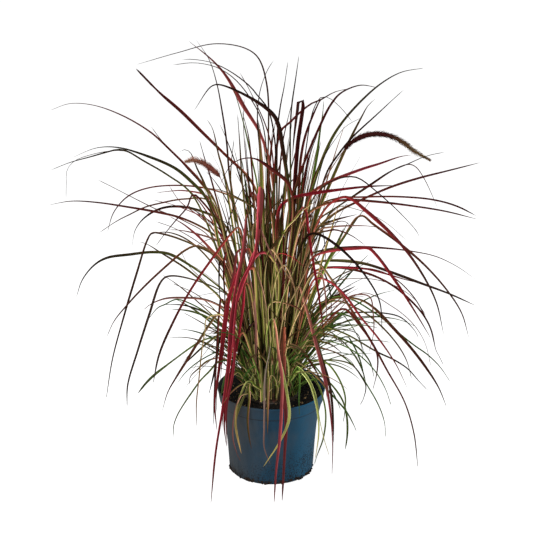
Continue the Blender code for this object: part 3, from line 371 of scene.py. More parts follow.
FINE_TOP = (
    "black 2.4 0 9 1,60 0.8,66 0.6,70 -0.7,76 -2.9,78.9 -4,80.3 -7.1,82.8 -10.1,84.5 -12.2,85.2 -15.4,85.6 "
     "-16.8,85.5",
    "black 1.9 -2 -9 -1,68 -2,74 -4,78 -7,81.8 -10.3,84 -14.5,84.9 -18.6,84.5",
    "black 2.3 -3 -10 -2.2,60 -2.3,67.9 -2.7,72.9 -2.6,76.8 -2,80.3 -0.6,83.9 0.35,85.3",
    "maroon 2.3 4 8 0.4,64 -0.3,69.9 -1.4,73.5 -2.7,76.5 -4.5,80.3 -6,83",
    "black 2.9 2 7 1,66 1.2,72.9 1.75,77.2 2.35,80.3 3.05,85.2",
    "wine 6.4 5 9 4.3,56 4.55,62 4.8,66 5.1,69.8 5.55,73.1 5.9,75.7 6.0,77.3 5.7,77.8 5.2,77.6 4.95,75.9 "
     "4.6,73.1 4.25,69.8 4.0,66",
    "night 2.2 8 10 -0.6,46 1.65,50.1 3.4,52.2 5.2,54.2 6.6,55.6",
    "maroon 3.6 8 9 3.6,43 4.45,48.2 5.05,51 6.1,54.9 6.8,57",
    "rose 2.6 7 8 -9,46 -9.8,52.7 -11.4,56 -12.9,59 -14,60.6",
    "night 2 6 8 -8.9,49 -8.5,53 -6.8,57.7 -5.35,60.6 -4.4,63",
    "wine 2.2 7 8 -1.9,50 -3.3,56 -5.5,60.4 -7,63.5",
    "maroon 3.8 8 9 0.9,44 0.36,52.1 -0.2,57 -0.7,60.8 -0.9,64",
    "tan 2.3 9 10 1.6,28 2.4,33.2 5.5,40.2 7.6,45 9.2,49.4",
    "khaki 2.5 9 10 0.2,29 1.9,36 3.9,41.5 5.8,47",
    "tan 2 9 10 2.6,24 4.2,31 6.5,36.2 9.2,41.2",
    "mauve 2.4 8 9 -1.2,36 -2.6,42 -4.6,47 -5.6,52",
    "maroon 4.1 -1 -12 0.8,66 1.8,71.7 3.6,73.4 5.2,75.1 7.7,77.1 9.2,77.7 12,79.3 15,80",
    "brown 2.9 2 5 1.6,64 2.2,69.9 2.8,72.8 3.4,75.4 3.9,77.2",
    "green 2.8 -2 -6 -2.4,55 -2.8,61 -3.8,65.9 -5.3,72.9 -7.1,79.3 -8,81",
    "olive 3 0 3 -5.2,56 -5.8,63 -6.1,69 -6.5,75",
    "maroon 3 3 7 -3.4,58 -3.8,64 -4.4,70.5 -5.6,75.5",
    "brown 3.6 -3 -6 -0.6,58 -0.4,64 0.2,70 0.9,74.5",
    "khaki 7.4 3 6 -1.5,50 -1.75,56 -1.9,62 -2.15,68 -2.55,73.5",
    "olive 4 4 6 2.2,55 2.6,60 2.8,66 3.3,70.5",
    "maroon 4.6 -2 -5 5.6,56 6.4,62 7.4,67 8.8,71",
    "brown 3.2 3 6 6.4,55 7.6,60.5 9.2,65 11.3,69",
    "maroon 4.6 1 -7 5.3,60 5.6,66 6.5,70.9 8.4,76 9.3,77.8 10.1,78.3 12,79.3",
    "green 4.6 -1 -5 7.2,55 7.8,61 8.7,66.9 9.3,72 9.7,74.8 9.9,77.7",
    "black 1.9 4 12 6.6,68 8,76 9.4,78.3 10.8,78.2 13.2,76.2 15.4,73.5",
    "olive 2.7 5 9 -7.6,57 -7.9,62 -7.7,66 -7.2,70",
    "brown 1.7 -4 -9 -4.6,62 -5.1,68 -5.4,73 -5.2,78",
)
FINE_RIGHT = (
    "olive 5.3 -1 -9 9,55 11.3,61 15.1,70.1 17.1,74.3 18.3,76.6 19.6,77.9",
    "black 1.4 3 6 10,66 12.1,69.9 14.2,72.6 17.1,74.3",
    "black 3.3 2 11 10.5,63 12.8,67 15.3,70.3 20,74.9 23.7,78.5 25,79.7",
    "folded_rust 5.8 1 -6 7.5,58.6 10.6,61.1 17.1,63.9 21,65.2 24.9,66.6 27,66.9",
    "black 2.6 1 9 11,54.5 15,58 19.1,61 22.9,63.6 26,65 29.8,66.7 33.3,67.5",
    "black 2.5 4 13 8,58 12,61.8 15.5,62.6 17.2,62.1 20,59.9 24.4,55.9 28.4,51.5 29.1,50.2",
    "maroon 3.1 -6 -11 5.5,52 9,56.6 13,58.2 17.3,58.4 24.3,58.5 31.3,57.9 36,56.6 40,54.6 cut",
    "crimson 3.7 2 -6 8,42.4 10,43.6 17.9,43.6 22.2,42.6 27,41.1 29.4,40.5",
    "brown 5.5 -2 4 6,48.5 8.1,51.7 12.3,53.7 16.8,54.9",
    "brown 6.4 -3 -9 5.6,29 6.5,31 9.3,34.5 12.9,37.6 16.8,39.9",
    "pitch_olive 2.8 -7 -24 8.5,32 11.5,33.6 17.8,34.2 22.1,34.1 25.8,33.2 28.8,30.3 29.6,28.8",
    "leafgreen 3.2 4 9 7,28.5 9,31.4 11.3,33.7 13,34.2 16.8,33 21.2,31.6",
    "leafgreen 3.2 1 6 6.5,28.6 8,30 10.6,31.1 16.8,31.6",
    "olive 5.4 3 5 11,45 12,47 13,49.2 14.2,52.2",
    "green 2.7 -1 -4 10.8,44 12.5,47 15.8,52.5 19.2,57.6",
    "green 4.4 4 6 11.6,46 13.2,49.4 15,53.4",
    "brown 3.2 5 8 9,52 12,53 13.5,53.5 14.6,53.3 16.1,51.7",
    "maroon 3.6 6 9 8.6,50.6 11,51.5 12.6,51.7 15.7,50.5 18.4,48.5",
    "mauve 3.3 2 6 9,51.4 12,52.3 14,52.5 18.7,52.5 20.8,52.2",
    "leafgreen 3 -4 -16 10,36 14,37.6 21.5,33.5 25.1,30.2 28.5,27.3 31.8,24.8 34.3,22.2 36.5,18.9",
    "pitch_olive 3.1 3 12 9,31 14,30 21.6,25.5 25,23.8 27.8,21.8 30.1,19.1 32,17",
    "maroon 3.6 12 15 14.6,35 17.6,31.6 20.5,27.3 21.5,24.7 21.5,21.1 20.7,17",
    "brown 2.2 -2 -22 11,40 17,43.5 23,42.4 28,38 31.4,32 32.6,28.8 33.2,26.2 34.2,24.2 35,22.5",
    "pitch_olive 2.4 3 8 6,22.4 7.5,23 9.5,23.6 12.9,23.8 16.4,22.7 18.5,19.8 19.3,18 18.9,15.3 18.2,13.7",
    "leafgreen 2.3 2 10 6,26 7.5,26.6 9,26.5 13,25.5 16.8,22.4 20.2,17.1 22.3,13 23.4,9.4 23.6,6.2",
    "green 3.1 5 9 7.5,23.4 9.5,23.8 11.3,23.1 13.6,20 15.1,15.8 15.1,11.9 14.8,9.8",
    "leafgreen 3 8 13 9.6,19.4 11,17.7 12.7,15.7 15.4,12.3 17,9.2 17.6,7.7",
    "leafgreen 2.4 -2 -6 6,27.4 7.9,28.2 12.9,28 14.4,27.8",
    "green 3.3 -3 -20 6,25 7,27.5 8.8,29.4 11.8,29.3 15.8,27.7 18.2,25.9 20.1,23.1 20.9,20",
    "olive 3.9 6 9 7,27.6 9,28 11.9,27.3 14.3,25.4",
    "brown 2 7 12 6,26.6 8,27 12.5,25.7 15.9,23.8 17.2,22",
    "leafgreen 1.9 -4 -9 5.6,28.4 7,30 11.8,31.1 15.8,31.7",
    "olive 1.9 3 5 6,25.6 8,27.5 11.8,29.8 14.8,30.6 16.8,30.4",
    "pitch_olive 1.7 5 9 9,29.5 14,30.5 17.4,29.5 18.1,27.1 18.5,25.6 18.5,23.8",
    "leafgreen 3.2 -2 -5 6,28 8,30.5 9.8,32.1 13.2,33.5",
    "mauve 2.4 9 14 16,37.8 19.6,37.6 20.4,34 20.6,30 19.8,25.6",
    "brown 1.3 4 11 18,38.4 24,35.6 28.4,31.8 31,27.6 32.4,22.4",
    "olive 2.8 2 9 12,36.6 18,34.6 23.6,29.6 27.2,24.2 28.6,19.6",
    "leafgreen 2 4 10 11,27.8 16,26.2 20.6,22 23.2,17.6 24.6,13.6",
    "brown 1.4 -5 -12 11,40 17,41.5 23,40.6 28,37.6 31,33.6",
    "olive 1.2 -4 -10 12,56 17.6,55.6 22.6,53 26.4,49.6",
)
FINE_FRONT = (
    "mauve 4 7 11 -4.9,42 -4.8,44 -4.3,41 -3.8,38 -3.3,34.7 -3.1,28.2 -3.1,23.8 -3,21.6",
    "folded_red 4.6 7.5 17 1.6,40 1.3,43.2 0.3,45.6 -1,46.9 -2.4,46.9 -3.6,45.5 -4.5,43.8 -5.4,41.3 "
     "-6.5,38 -7.3,35.5 -7.9,31 -8.1,27.7 -8.8,23.5 -9.4,19 -9.9,14",
    "scarlet 6.5 9 16 -3.6,44 -4.6,43.6 -5.3,41.8 -6.2,39 -7.1,36.5 -7.5,34 -7.8,30.5 -8.2,26.5 -8.8,21.5 "
     "-9.4,17 -9.9,12.5 -10.2,8",
    "crimson 4.2 8.5 14 -4.2,46.8 -4.8,48 -5.6,46 -6.6,43 -7.7,40 -8.4,37 -9,33 -9.5,28.5 -10,23.5 "
     "-10.4,19",
    "crimson 2.3 8 16 -6.4,42.5 -7.2,41.6 -8.4,38.5 -9.1,36 -9.7,31.5 -10.2,27 -10.7,22.5 -11.1,17 "
     "-11.3,12",
    "wine 3.6 6 13 -9.6,36.5 -10,37.4 -10.6,33 -10.9,28.5 -11.2,23.5 -11.5,19 -11.8,13.5 -11.9,9",
    "crimson 3.8 10 15 -4.6,40.4 -5.2,40.6 -5.6,36 -6.1,32.5 -6.6,29 -7.2,25.5 -7.8,22 -8.3,18.5",
    "folded_red 3.4 9 12 -2.6,46 -3.1,47.4 -4,45.6 -4.9,43 -5.8,40.2 -6.6,37.4 -7.1,34.6",
    "night 3.8 6 10 -2.5,31.2 -3.4,32.2 -4.5,30.8 -6.1,27.1 -7.2,22.7",
    "crimson 4.6 10 18 -5.8,30 -6.6,29 -7.3,25.6 -7.9,22.7 -8.5,18.2 -9.3,13.7 -9.7,9.2 -9.3,4.3",
    "maroon 4.4 8 12 -4.9,39.6 -5.3,40.4 -5.8,34.1 -6.5,29.1 -6.9,26",
    "olive 4 8.6 13.6 -3.6,18.4 -4.2,19.2 -4.6,18 -4.5,15.4 -4.9,10.3 -4.6,6.4 -4.1,3.6",
    "mauve 2.2 12 14 -6.2,15.8 -7.2,13.4 -7.9,9.6 -7.9,5.7 -7.1,2.5 -6.4,0.8",
    "straw 3.6 11.5 13 -5,18.8 -6.5,15.3 -7.1,13 -7.4,9.2",
    "leafgreen 3 7 12.5 4.8,21.4 5.4,22.2 5.8,19.3 5.7,14.8 5.8,11.4",
    "cream 2.8 8 13 5.6,21.4 7.6,19 9.1,14.2 9.7,10.5 9.8,6.9 9.2,1.5",
    "green 2.9 4 13 6,20 7.2,20.9 8.8,19.5 10,17.3 11.2,11.9 10.8,6.2 9.5,2 9,0.1",
    "black 4.4 10 16 8.5,29.5 9.45,27 10.4,23.7 11.65,19.4 12.35,15.3 12.75,10.3 12.95,5",
    "crimson 4.4 5 14 0.5,48 3,51.5 5.2,54.8 6.2,56.3 6.7,55.6 7.2,52 7.7,48.5 8.2,45.5 8.9,41.2 9.3,39 "
     "9.9,34.7 10.4,30.8 10.7,27.3",
    "brown 3 8 12 -0.6,35.6 0.5,36.6 3.2,36.1 5.6,34.9 6.9,32.6 7.6,31.4",
    "mauve 2.8 9 12 -3.6,50 -3.2,53.4 -2.6,53.5 -1.85,51.2 -0.3,47.3 1.2,44.3 2.2,41",
    "brown 4.2 8 13 2,26 3.4,27.2 6,26.2 7.9,23.4 9.5,20.6 10.5,18",
    "rose 3.5 4 6 9,41 10.1,45.7 11.6,51.2 13.1,57",
    "tan 3 9 13 0.2,38 1.2,42.5 2.4,44.4 3.4,43.2 4.8,38.6 5.2,34.6",
    "tan 3.6 8 12 -1.5,40 -0.9,46.2 -0.2,47.8 0.8,46.8 2.6,43.2 4.6,39.6",
    "mauve 3.4 9 12 6,37.6 8.4,42.4 9.8,42.6 10.6,39.4 11,35.2 11.2,31.6",
    "crimson 2.8 10 14 -8.6,36 -8.9,37.2 -9.4,33 -9.7,27.6 -9.4,22.5",
    "wine 3.6 7 10 -8.2,45 -8.7,47.4 -9.2,46.2 -9.5,42 -9.3,37.6 -9.6,33",
    "cream 3.6 6 12 0.8,21.6 1.8,24.6 2.8,25.2 3.4,23.4 3.6,20.4 3.3,17.6",
    "olive 4 5 11 -5.4,19.6 -6.8,21.2 -8.2,20 -9.2,17 -9.6,14",
    "leafgreen 3.4 5 10 -2.4,20.4 -3.4,22.4 -4.8,21.2 -6.2,18.2",
    "night 3.4 6 11 -0.6,48 -2.9,55.7 -6.1,58 -9.8,59.8 -12.9,60.3",
    "night 2.4 8 12 -1.6,50 0.6,56.8 3.6,57.9 6.5,58.8",
    "maroon 3 9 12 0.8,46 2.8,51.9 4.6,53.9 6.3,55.9 8.4,57.4",
    "night 2.2 9 11 -1.6,42 -0.1,47.9 2.1,50.6 5.1,53.5",
    "night 2 8 12 -4.6,46 -6.8,51.5 -9.1,53.3 -13,55.2",
    "night 2 9 11 -6.2,45 -4.6,51.1 -3.3,53.3",
    "tan 2.8 8 12 -8.4,46 -9.7,52.7 -10.9,57 -12.9,60 -14.4,61.9",
    "scarlet 1.8 9 12 0.2,42 1.4,46.7 3.7,46.2 6.6,43.9",
)


# ---------------------------------------------------------------- routes
def smooth(value):
    value = min(max(value, 0.0), 1.0)
    return value * value * (3 - 2 * value)


def mix(low, high, share):
    return low + (high - low) * share


def arc_lengths(points):
    """The length along a route at each of its points."""
    return np.concatenate(([0.0], np.cumsum(np.linalg.norm(np.diff(points, axis=0), axis=1))))


def unit_rows(rows):
    """Each row at length one."""
    return rows / np.maximum(np.linalg.norm(rows, axis=1), 1e-9)[:, None]


def square_to(sides, tangent):
    """Side directions without what runs along the route."""
    return unit_rows(sides - (sides * tangent).sum(axis=1)[:, None] * tangent)


def sight_place(x, z, depth):
    """The place of a route's point, moved along its sight line to its depth."""
    on_plane = Vector((x * CM, 0.0, z * CM))
    share = (-depth * CM - VIEW_POINT.y) / (0.0 - VIEW_POINT.y)
    return VIEW_POINT + (on_plane - VIEW_POINT) * share


def spline(points, count):
    """Even samples on a centripetal Catmull-Rom curve through the points; extra columns follow."""
    points = np.array(points, float)
    ends = np.vstack([2 * points[0] - points[1], points, 2 * points[-1] - points[-2]])
    dense = []
    for a, b, c, d in zip(ends, ends[1:], ends[2:], ends[3:]):
        gaps = [max(float(np.linalg.norm(q[:3] - p[:3])), 1e-6) ** 0.5 for p, q in ((a, b), (b, c), (c, d))]
        t1, t2, t3 = np.cumsum(gaps)
        for t in np.linspace(t1, t2, 10, endpoint=False):
            a1 = a + (b - a) * (t / t1)
            a2 = b + (c - b) * ((t - t1) / (t2 - t1))
            a3 = c + (d - c) * ((t - t2) / (t3 - t2))
            b1 = a1 + (a2 - a1) * (t / t2)
            b2 = a2 + (a3 - a2) * ((t - t1) / (t3 - t1))
            dense.append(b1 + (b2 - b1) * ((t - t1) / (t2 - t1)))
    dense = np.array(dense + [points[-1]])
    along = arc_lengths(dense[:, :3])
    wanted = np.linspace(0.0, along[-1], count)
    return np.stack([np.interp(wanted, along, column) for column in dense.T], axis=1)


def node_rings(name, ring_size):
    """The solid's rings of corners from end to end, walked over its edges from its first end."""
    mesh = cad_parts[name].data
    places = np.array([vertex.co[:] for vertex in mesh.vertices])
    _, first, merged = np.unique(np.round(places / (0.01 * MM)).astype(int), axis=0,
                                 return_index=True, return_inverse=True)
    merged = merged.reshape(-1)
    corners = places[first]
    near = [set() for _ in corners]
    for edge in mesh.edges:
        a, b = (int(merged[index]) for index in edge.vertices)
        if a != b:
            near[a].add(b)
            near[b].add(a)
    start = int(np.argmax(np.linalg.norm(corners - corners.mean(axis=0), axis=1)))
    end_ring = np.argsort(np.linalg.norm(corners - corners[start], axis=1))[:ring_size]
    rings = [set(int(index) for index in end_ring)]
    seen = set(rings[0])
    while True:
        following = {other for index in rings[-1] for other in near[index]} - seen
        if not following:
            break
        rings.append(following)
        seen |= following
    if any(len(ring) != ring_size for ring in rings) or len(seen) != len(corners):
        raise RuntimeError(f"{name}: rings of {[len(ring) for ring in rings]} corners")
    result = [corners[sorted(ring)] for ring in rings]
    low, high = result[0].mean(axis=0), result[-1].mean(axis=0)
    if math.hypot(*low[:2]) > math.hypot(*high[:2]):
        result.reverse()
    return result


def blade_rows(name):
    """Rows of centre, side direction and width along a blade's solid."""
    rows = []
    for ring in node_rings(name, 4):
        gaps = np.linalg.norm(ring[:, None, :] - ring[None, :, :], axis=2)
        a, b = np.unravel_index(int(np.argmax(gaps)), gaps.shape)
        side = ring[b] - ring[a]
        width = float(np.linalg.norm(side))
        side = side / width
        if rows and float(side @ rows[-1][3:6]) < 0:
            side = -side
        rows.append(np.concatenate([ring.mean(axis=0), side, [width]]))
    return np.array(rows)


# ---------------------------------------------------------------- blade meshes
class BladeStack:
    """Blades that are joined to one mesh, with what the blade material reads from each corner."""

    def __init__(self):
        self.corners = []
        self.faces = []
        self.strips = []
        self.carried = {key: [] for key in ("across", "along", "under", "seed", "age", "tone", "rim")}
        self.count = 0
        self.blades = 0

    def add(self, centres, sides, widths, kind, keel, thickness, section, rng, shift=0.0, ages=None):
        """Loft a folded section along a route; both ends close to a point. Ages place the colours."""
        rows, size = len(centres), len(section)
        tangent = unit_rows(np.gradient(centres, axis=0))
        sides = square_to(sides, tangent)
        ups = np.cross(sides, tangent)
        ring_corners = []
        for across, top in section:
            lift = keel * (abs(across) - 0.5)
            thick = (0.35 + 0.65 * (1 - abs(across))) * (1 if top else -1) * 0.5
            ring_corners.append(centres + sides * (across * widths / 2)[:, None]
                                + ups * (lift * widths + thick * thickness)[:, None])
        self.corners += [centres[:1] - tangent[:1] * 0.5 * MM, np.stack(ring_corners, axis=1).reshape(-1, 3),
                         centres[-1:] + tangent[-1:] * 1.0 * MM]
        self.carry(rows, section, kind, rng, shift, ages)
        first = self.count
        base = first + 1
        last = base + rows * size
        for corner in range(size):
            following = (corner + 1) % size
            self.faces += [(first, base + following, base + corner),
                           (last, last - size + corner, last - size + following)]
            self.strips += [(self.blades, corner, -1), (self.blades, corner, rows - 1)]
        for row in range(rows - 1):
            low = base + row * size
            for corner in range(size):
                following = (corner + 1) % size
                self.faces.append((low + corner, low + following, low + size + following,
                                   low + size + corner))
                self.strips.append((self.blades, corner, row))
        self.count += rows * size + 2
        self.blades += 1
        self.rows, self.size = rows, size

    def carry(self, rows, section, kind, rng, shift, ages):
        """Keep what each corner of one blade carries, its two end points included."""
        shares = np.linspace(0, 1, rows)
        ages = shares if ages is None else ages
        flow = [noise.noise(Vector((self.blades * 3.7 + shift, share * 4, 0.5))) for share in shares]
        light = rng.choice((0.68, 0.92, 1.06, 1.2, 1.34))
        tones, rims = np.array([blade_tone(kind, age + 0.05 * drift, drift, light)
                                for age, drift in zip(ages, flow)]).transpose(1, 0, 2)
        for key, values in (("along", shares), ("age", ages), ("tone", tones), ("rim", rims)):
            spread = np.repeat(values, len(section), axis=0)
            self.carried[key].append(np.concatenate([spread[:1], spread, spread[-1:]]))
        for key, ring in (("across", [across for across, _ in section]),
                          ("under", [0.0 if top else 1.0 for _, top in section])):
            self.carried[key].append(np.concatenate([[0], np.tile(ring, rows), [0]]))
        self.carried["seed"].append(np.full(rows * len(section) + 2, rng.random()))

    def mesh(self, name, sharp):
        mesh = bpy.data.meshes.new(name)
        mesh.from_pydata(np.vstack(self.corners).tolist(), [], self.faces)
        mesh.shade_smooth()
        mesh.set_sharp_from_angle(angle=math.radians(sharp))
        for key, parts in self.carried.items():
            values = np.concatenate(parts)
            kind, field = ("FLOAT", "value") if values.ndim == 1 else ("FLOAT_COLOR", "color")
            if field == "color":
                values = np.hstack([values, np.ones((len(values), 1))])
            layer = mesh.attributes.new(key, kind, "POINT")
            layer.data.foreach_set(field, values.astype(np.float32).ravel())
        self.lay_strips(mesh)
        return mesh

    def lay_strips(self, mesh):
        """One upright strip of the texture square for each blade."""
        layer = mesh.uv_layers.new(name="OFBake")
        uvs = np.zeros((len(mesh.loops), 2), np.float32)
        starts = np.empty(len(mesh.polygons), np.int64)
        totals = np.empty(len(mesh.polygons), np.int64)
        mesh.polygons.foreach_get("loop_start", starts)
        mesh.polygons.foreach_get("loop_total", totals)
        pitch = 1.0 / self.blades
        for start, total, (blade, corner, row) in zip(starts, totals, self.strips):
            left, right = ((blade + 0.05 + 0.9 * (corner + step) / self.size) * pitch for step in (0, 1))
            low, high = (0.01 + 0.98 * (row + step) / (self.rows + 1) for step in (1, 2))
            if total == 4:
                corners = ((left, low), (right, low), (right, high), (left, high))
            elif row < 0:
                corners = ((left, low), (right, high), (left, high))
            else:
                corners = ((left, high), (left, low), (right, low))
            uvs[start:start + total] = corners
        layer.data.foreach_set("uv", uvs.ravel())


# A section's corners: place across the blade from edge to edge, and whether on its upper side.
WIDE_SECTION = ((-1.0, True), (-0.5, False), (0.0, False), (0.5, False), (1.0, True), (0.5, True),
                (0.0, True), (-0.5, True))
FINE_SECTION = ((-1.0, True), (0.0, False), (1.0, True), (0.0, True))
# The share of the colours at which a blade leaves the clump.
LEAVES_CLUMP = 0.36


def ages_along(centres):
    """Colour shares along a blade: green and tan inside the clump, the kind's own colours outside."""
    arc = arc_lengths(centres)
    reach = np.maximum(np.hypot(centres[:, 0], centres[:, 1]) / CLUMP_RADIUS,
                       (centres[:, 2] - SOIL_TOP) / CLUMP_HEIGHT)
    reach = np.maximum.accumulate(np.maximum(reach, 0.0))
    if reach[-1] < 1:
        return np.maximum(LEAVES_CLUMP * reach, 0.5 * arc / arc[-1])
    leaves = float(np.interp(1.0, reach, arc))
    return np.where(arc < leaves, LEAVES_CLUMP * np.minimum(reach, 1.0),
                    LEAVES_CLUMP + (1 - LEAVES_CLUMP) * (arc - leaves) / max(arc[-1] - leaves, 1e-6))


def folded_ages(centres):
    """Colour shares of a blade that turns over: it stays green up to its highest place."""
    shares = np.linspace(0, 1, len(centres))
    top = shares[int(np.argmax(centres[:, 2]))]
    return np.interp(shares, (0, 0.93 * top, top, 1), (0, 0.12, 0.33, 1))


def blade_tone(kind, share, flow, light):
    """The colours along the middle and along the margins at a share of the length."""
    share = min(max(share, 0.0), 1.0)
    for (start, *low), (end, *high) in zip(KINDS[kind], KINDS[kind][1:]):
        if share <= end:
            break
    part = (share - start) / (end - start)
    gain = (1 + 0.22 * flow) * mix(light, 0.5 + 0.38 * light, smooth((share - LEAVES_CLUMP) / 0.3))
    return [[mix(a, b, part) * gain for a, b in zip(*colors)] for colors in zip(low, high)]


def turned_sides(sides, tangent, angles):
    """Side directions turned about the route by an angle at each row."""
    return sides * np.cos(angles)[:, None] + np.cross(sides, tangent) * np.sin(angles)[:, None]


def facing_sides(centres, sides, share):
    """Side directions turned by a share of the way to where the blade shows its full breadth."""
    sight = centres - np.array(VIEW_POINT)
    flat = unit_rows(np.cross(sight, np.gradient(centres, axis=0)))
    flips = np.sign((flat[1:] * flat[:-1]).sum(axis=1))
    flat *= np.concatenate(([1.0], np.cumprod(np.where(flips < 0, -1.0, 1.0))))[:, None]
    if (flat * sides).sum() < 0:
        flat = -flat
    return unit_rows(sides * (1 - share) + flat * share)


def route_sides(centres, rng, twist=0.5):
    """Side directions level with the ground and across the route, slowly twisting."""
    tangent = unit_rows(np.gradient(centres, axis=0))
    heading = centres[-1] - centres[0]
    level = np.array([-heading[1], heading[0], 0.0])
    if np.linalg.norm(level) < 1e-4:
        level = np.array([1.0, 0.0, 0.0])
    level /= np.linalg.norm(level)
    if level[0] < 0:
        level = -level
    level = level + np.array([0.35, 0, 0])
    sides = square_to(np.tile(level, (len(centres), 1)), tangent)
    start, gain = rng.uniform(-0.5, 0.5), rng.uniform(-1, 1) * twist * 2
    return turned_sides(sides, tangent, start + gain * np.linspace(0, 1, len(centres)) ** 1.3)


def blade_profile(width, count, tip_width, blunt=False):
    """Widths along a blade: narrow at the sheath, broad to past the middle, then a thin tip."""
    shares = np.linspace(0, 1, count)
    base = 0.60 + 0.40 * np.array([smooth(share / 0.30) for share in shares])
    start, power = (0.92, 3.0) if blunt else (0.62, 3.4)
    tip = 1.0 - (np.maximum(shares - start, 0) / (1 - start)) ** power
    thin = min(1.3 * MM, width * 0.6)
    least = np.interp(shares, (0, 0.985, 1), (thin, thin, tip_width))
    return np.maximum(width * base * tip, least)


# ---------------------------------------------------------------- small helpers
def new_piece(name, mesh, replaced=()):
    piece = bpy.data.objects.new(name, mesh)
    bpy.context.scene.collection.objects.link(piece)
    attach(piece, "root")
    if replaced:
        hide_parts(*replaced)
    return piece


def toned_form():
    """An empty form, and the layer in which its corners carry their tone."""
    form = bmesh.new()
    return form, form.verts.layers.float_color.new("tone")


def form_piece(form, name, material, replaced=(), rounded=True):
    """A piece from a finished form, with its material."""
    mesh = bpy.data.meshes.new(name)
    form.to_mesh(mesh)
    form.free()
    if rounded:
        mesh.shade_smooth()
    mesh.materials.append(bpy.data.materials[material])
    new_piece(name, mesh, replaced)


def ring_of(form, layer, centre, side, up, radius, tone, count):
    """Corners round a centre."""
    ring = []
    for step in range(count):
        angle = 2 * math.pi * step / count
        vertex = form.verts.new(centre + (side * math.cos(angle) + up * math.sin(angle)) * radius)
        vertex[layer] = (*tone, 1.0)
        ring.append(vertex)
    return ring


def around(reach, angle, height=0.0):
    """The place at a reach and an angle round the pot's axis."""
    return Vector((reach * math.cos(angle), reach * math.sin(angle), height))


def on_mound(x, y):
    """The height of the soil at a place."""
    share = min(1.0, math.hypot(x, y) / CROWN_RADIUS)
    return SOIL_TOP + MOUND_HEIGHT * math.sqrt(max(0.0, 1 - share ** 2)) * 0.9 - 1.0 * MM


def inner_radius(height):
    """The inside radius of the pot at a height."""
    heights, radii = zip(*WALL_SHAPE, (COLLAR_FOOT, COLLAR_FOOT_RADIUS), (POT_HEIGHT, RIM_RADIUS))
    return float(np.interp(height, heights, radii)) - WALL


def clear_of_pot(centres):
    """True if a route keeps out of the pot's wall and the soil, and inside the solids' box."""
    inside_rim = 97 * MM
    margin = 4 * MM
    rooted = 3
    reach = np.hypot(centres[:, 0], centres[:, 1])
    height = centres[:, 2]
    in_wall = (height < POT_HEIGHT + margin) & (reach > inside_rim) & (reach < RIM_RADIUS + 3 * MM)
    in_soil = (height < SOIL_TOP + 1 * MM) & (reach < inside_rim)
    in_soil[:rooted] = False
    low = np.array(CAD_BOX[0]) + margin
    high = np.array(CAD_BOX[1]) - margin
    outside = ((centres < low) | (centres > high)).any(axis=1)
    return not (in_wall | in_soil | outside).any()


# ---------------------------------------------------------------- node groups
def new_group(name, inputs, outputs):
    """A shader node group with named numbers as inputs, and its input and output nodes."""
    tree = bpy.data.node_groups.new(name, "ShaderNodeTree")
    for label, value in inputs.items():
        socket = tree.interface.new_socket(name=label, in_out="INPUT", socket_type="NodeSocketFloat")
        socket.default_value = value
    for label in outputs:
        kind = "NodeSocketColor" if label == "Color" else "NodeSocketFloat"
        tree.interface.new_socket(name=label, in_out="OUTPUT", socket_type=kind)
    return tree, tree.nodes.new("NodeGroupInput"), tree.nodes.new("NodeGroupOutput")


def put(tree, kind, **inputs):
    """A node with values or links for its inputs, by name or number; other keys set the node."""
    item = tree.nodes.new(kind)
    sockets = {}
    for key, value in inputs.items():
        if key.startswith("i_"):
            label = key[2:]
            sockets[int(label) if label.isdigit() else label.replace("_", " ")] = value
        else:
            setattr(item, key, value)
    for label, value in sockets.items():
        socket = item.inputs[label]
        if isinstance(value, bpy.types.NodeSocket):
            tree.links.new(value, socket)
        else:
            socket.default_value = value
    return item


def connect(tree, item, **links):
    """Links sockets to a node's inputs, by their names."""
    for key, socket in links.items():
        tree.links.new(socket, item.inputs[key.replace("_", " ")])


def math_node(tree, operation, a, b=0.0, c=0.0, clamp=False):
    item = put(tree, "ShaderNodeMath", operation=operation, use_clamp=clamp, i_0=a, i_1=b, i_2=c)
    return item.outputs[0]


def times(tree, a, b, clamp=False):
    return math_node(tree, "MULTIPLY", a, b, clamp=clamp)


def times_add(tree, a, b, c, clamp=False):
    return math_node(tree, "MULTIPLY_ADD", a, b, c, clamp)


def vector_node(tree, operation, **inputs):
    return put(tree, "ShaderNodeVectorMath", operation=operation, **inputs).outputs[0]


def noise_node(tree, place, scale, detail, roughness=0.5):
    return put(tree, "ShaderNodeTexNoise", i_Vector=place, i_Scale=scale, i_Detail=detail,
               i_Roughness=roughness).outputs["Fac"]


def object_place(tree):
    return tree.nodes.new("ShaderNodeTexCoord").outputs["Object"]


def blend(tree, share, low, high):
    item = tree.nodes.new("ShaderNodeMix")
    item.data_type = "RGBA"
    for socket, value in ((item.inputs[0], share), (item.inputs[6], low), (item.inputs[7], high)):
        if isinstance(value, bpy.types.NodeSocket):
            tree.links.new(value, socket)
        elif socket.type == "RGBA":
            socket.default_value = (*value[:3], 1.0)
        else:
            socket.default_value = value
    return item.outputs[2]


def remap(tree, value, low, high, to_low=0.0, to_high=1.0):
    item = put(tree, "ShaderNodeMapRange", interpolation_type="SMOOTHSTEP", i_0=value, i_1=low, i_2=high,
               i_3=to_low, i_4=to_high)
    return item.outputs[0]


def attribute(tree, name, vector=False):
    item = put(tree, "ShaderNodeAttribute", attribute_name=name)
    return item.outputs["Color" if vector else "Fac"]


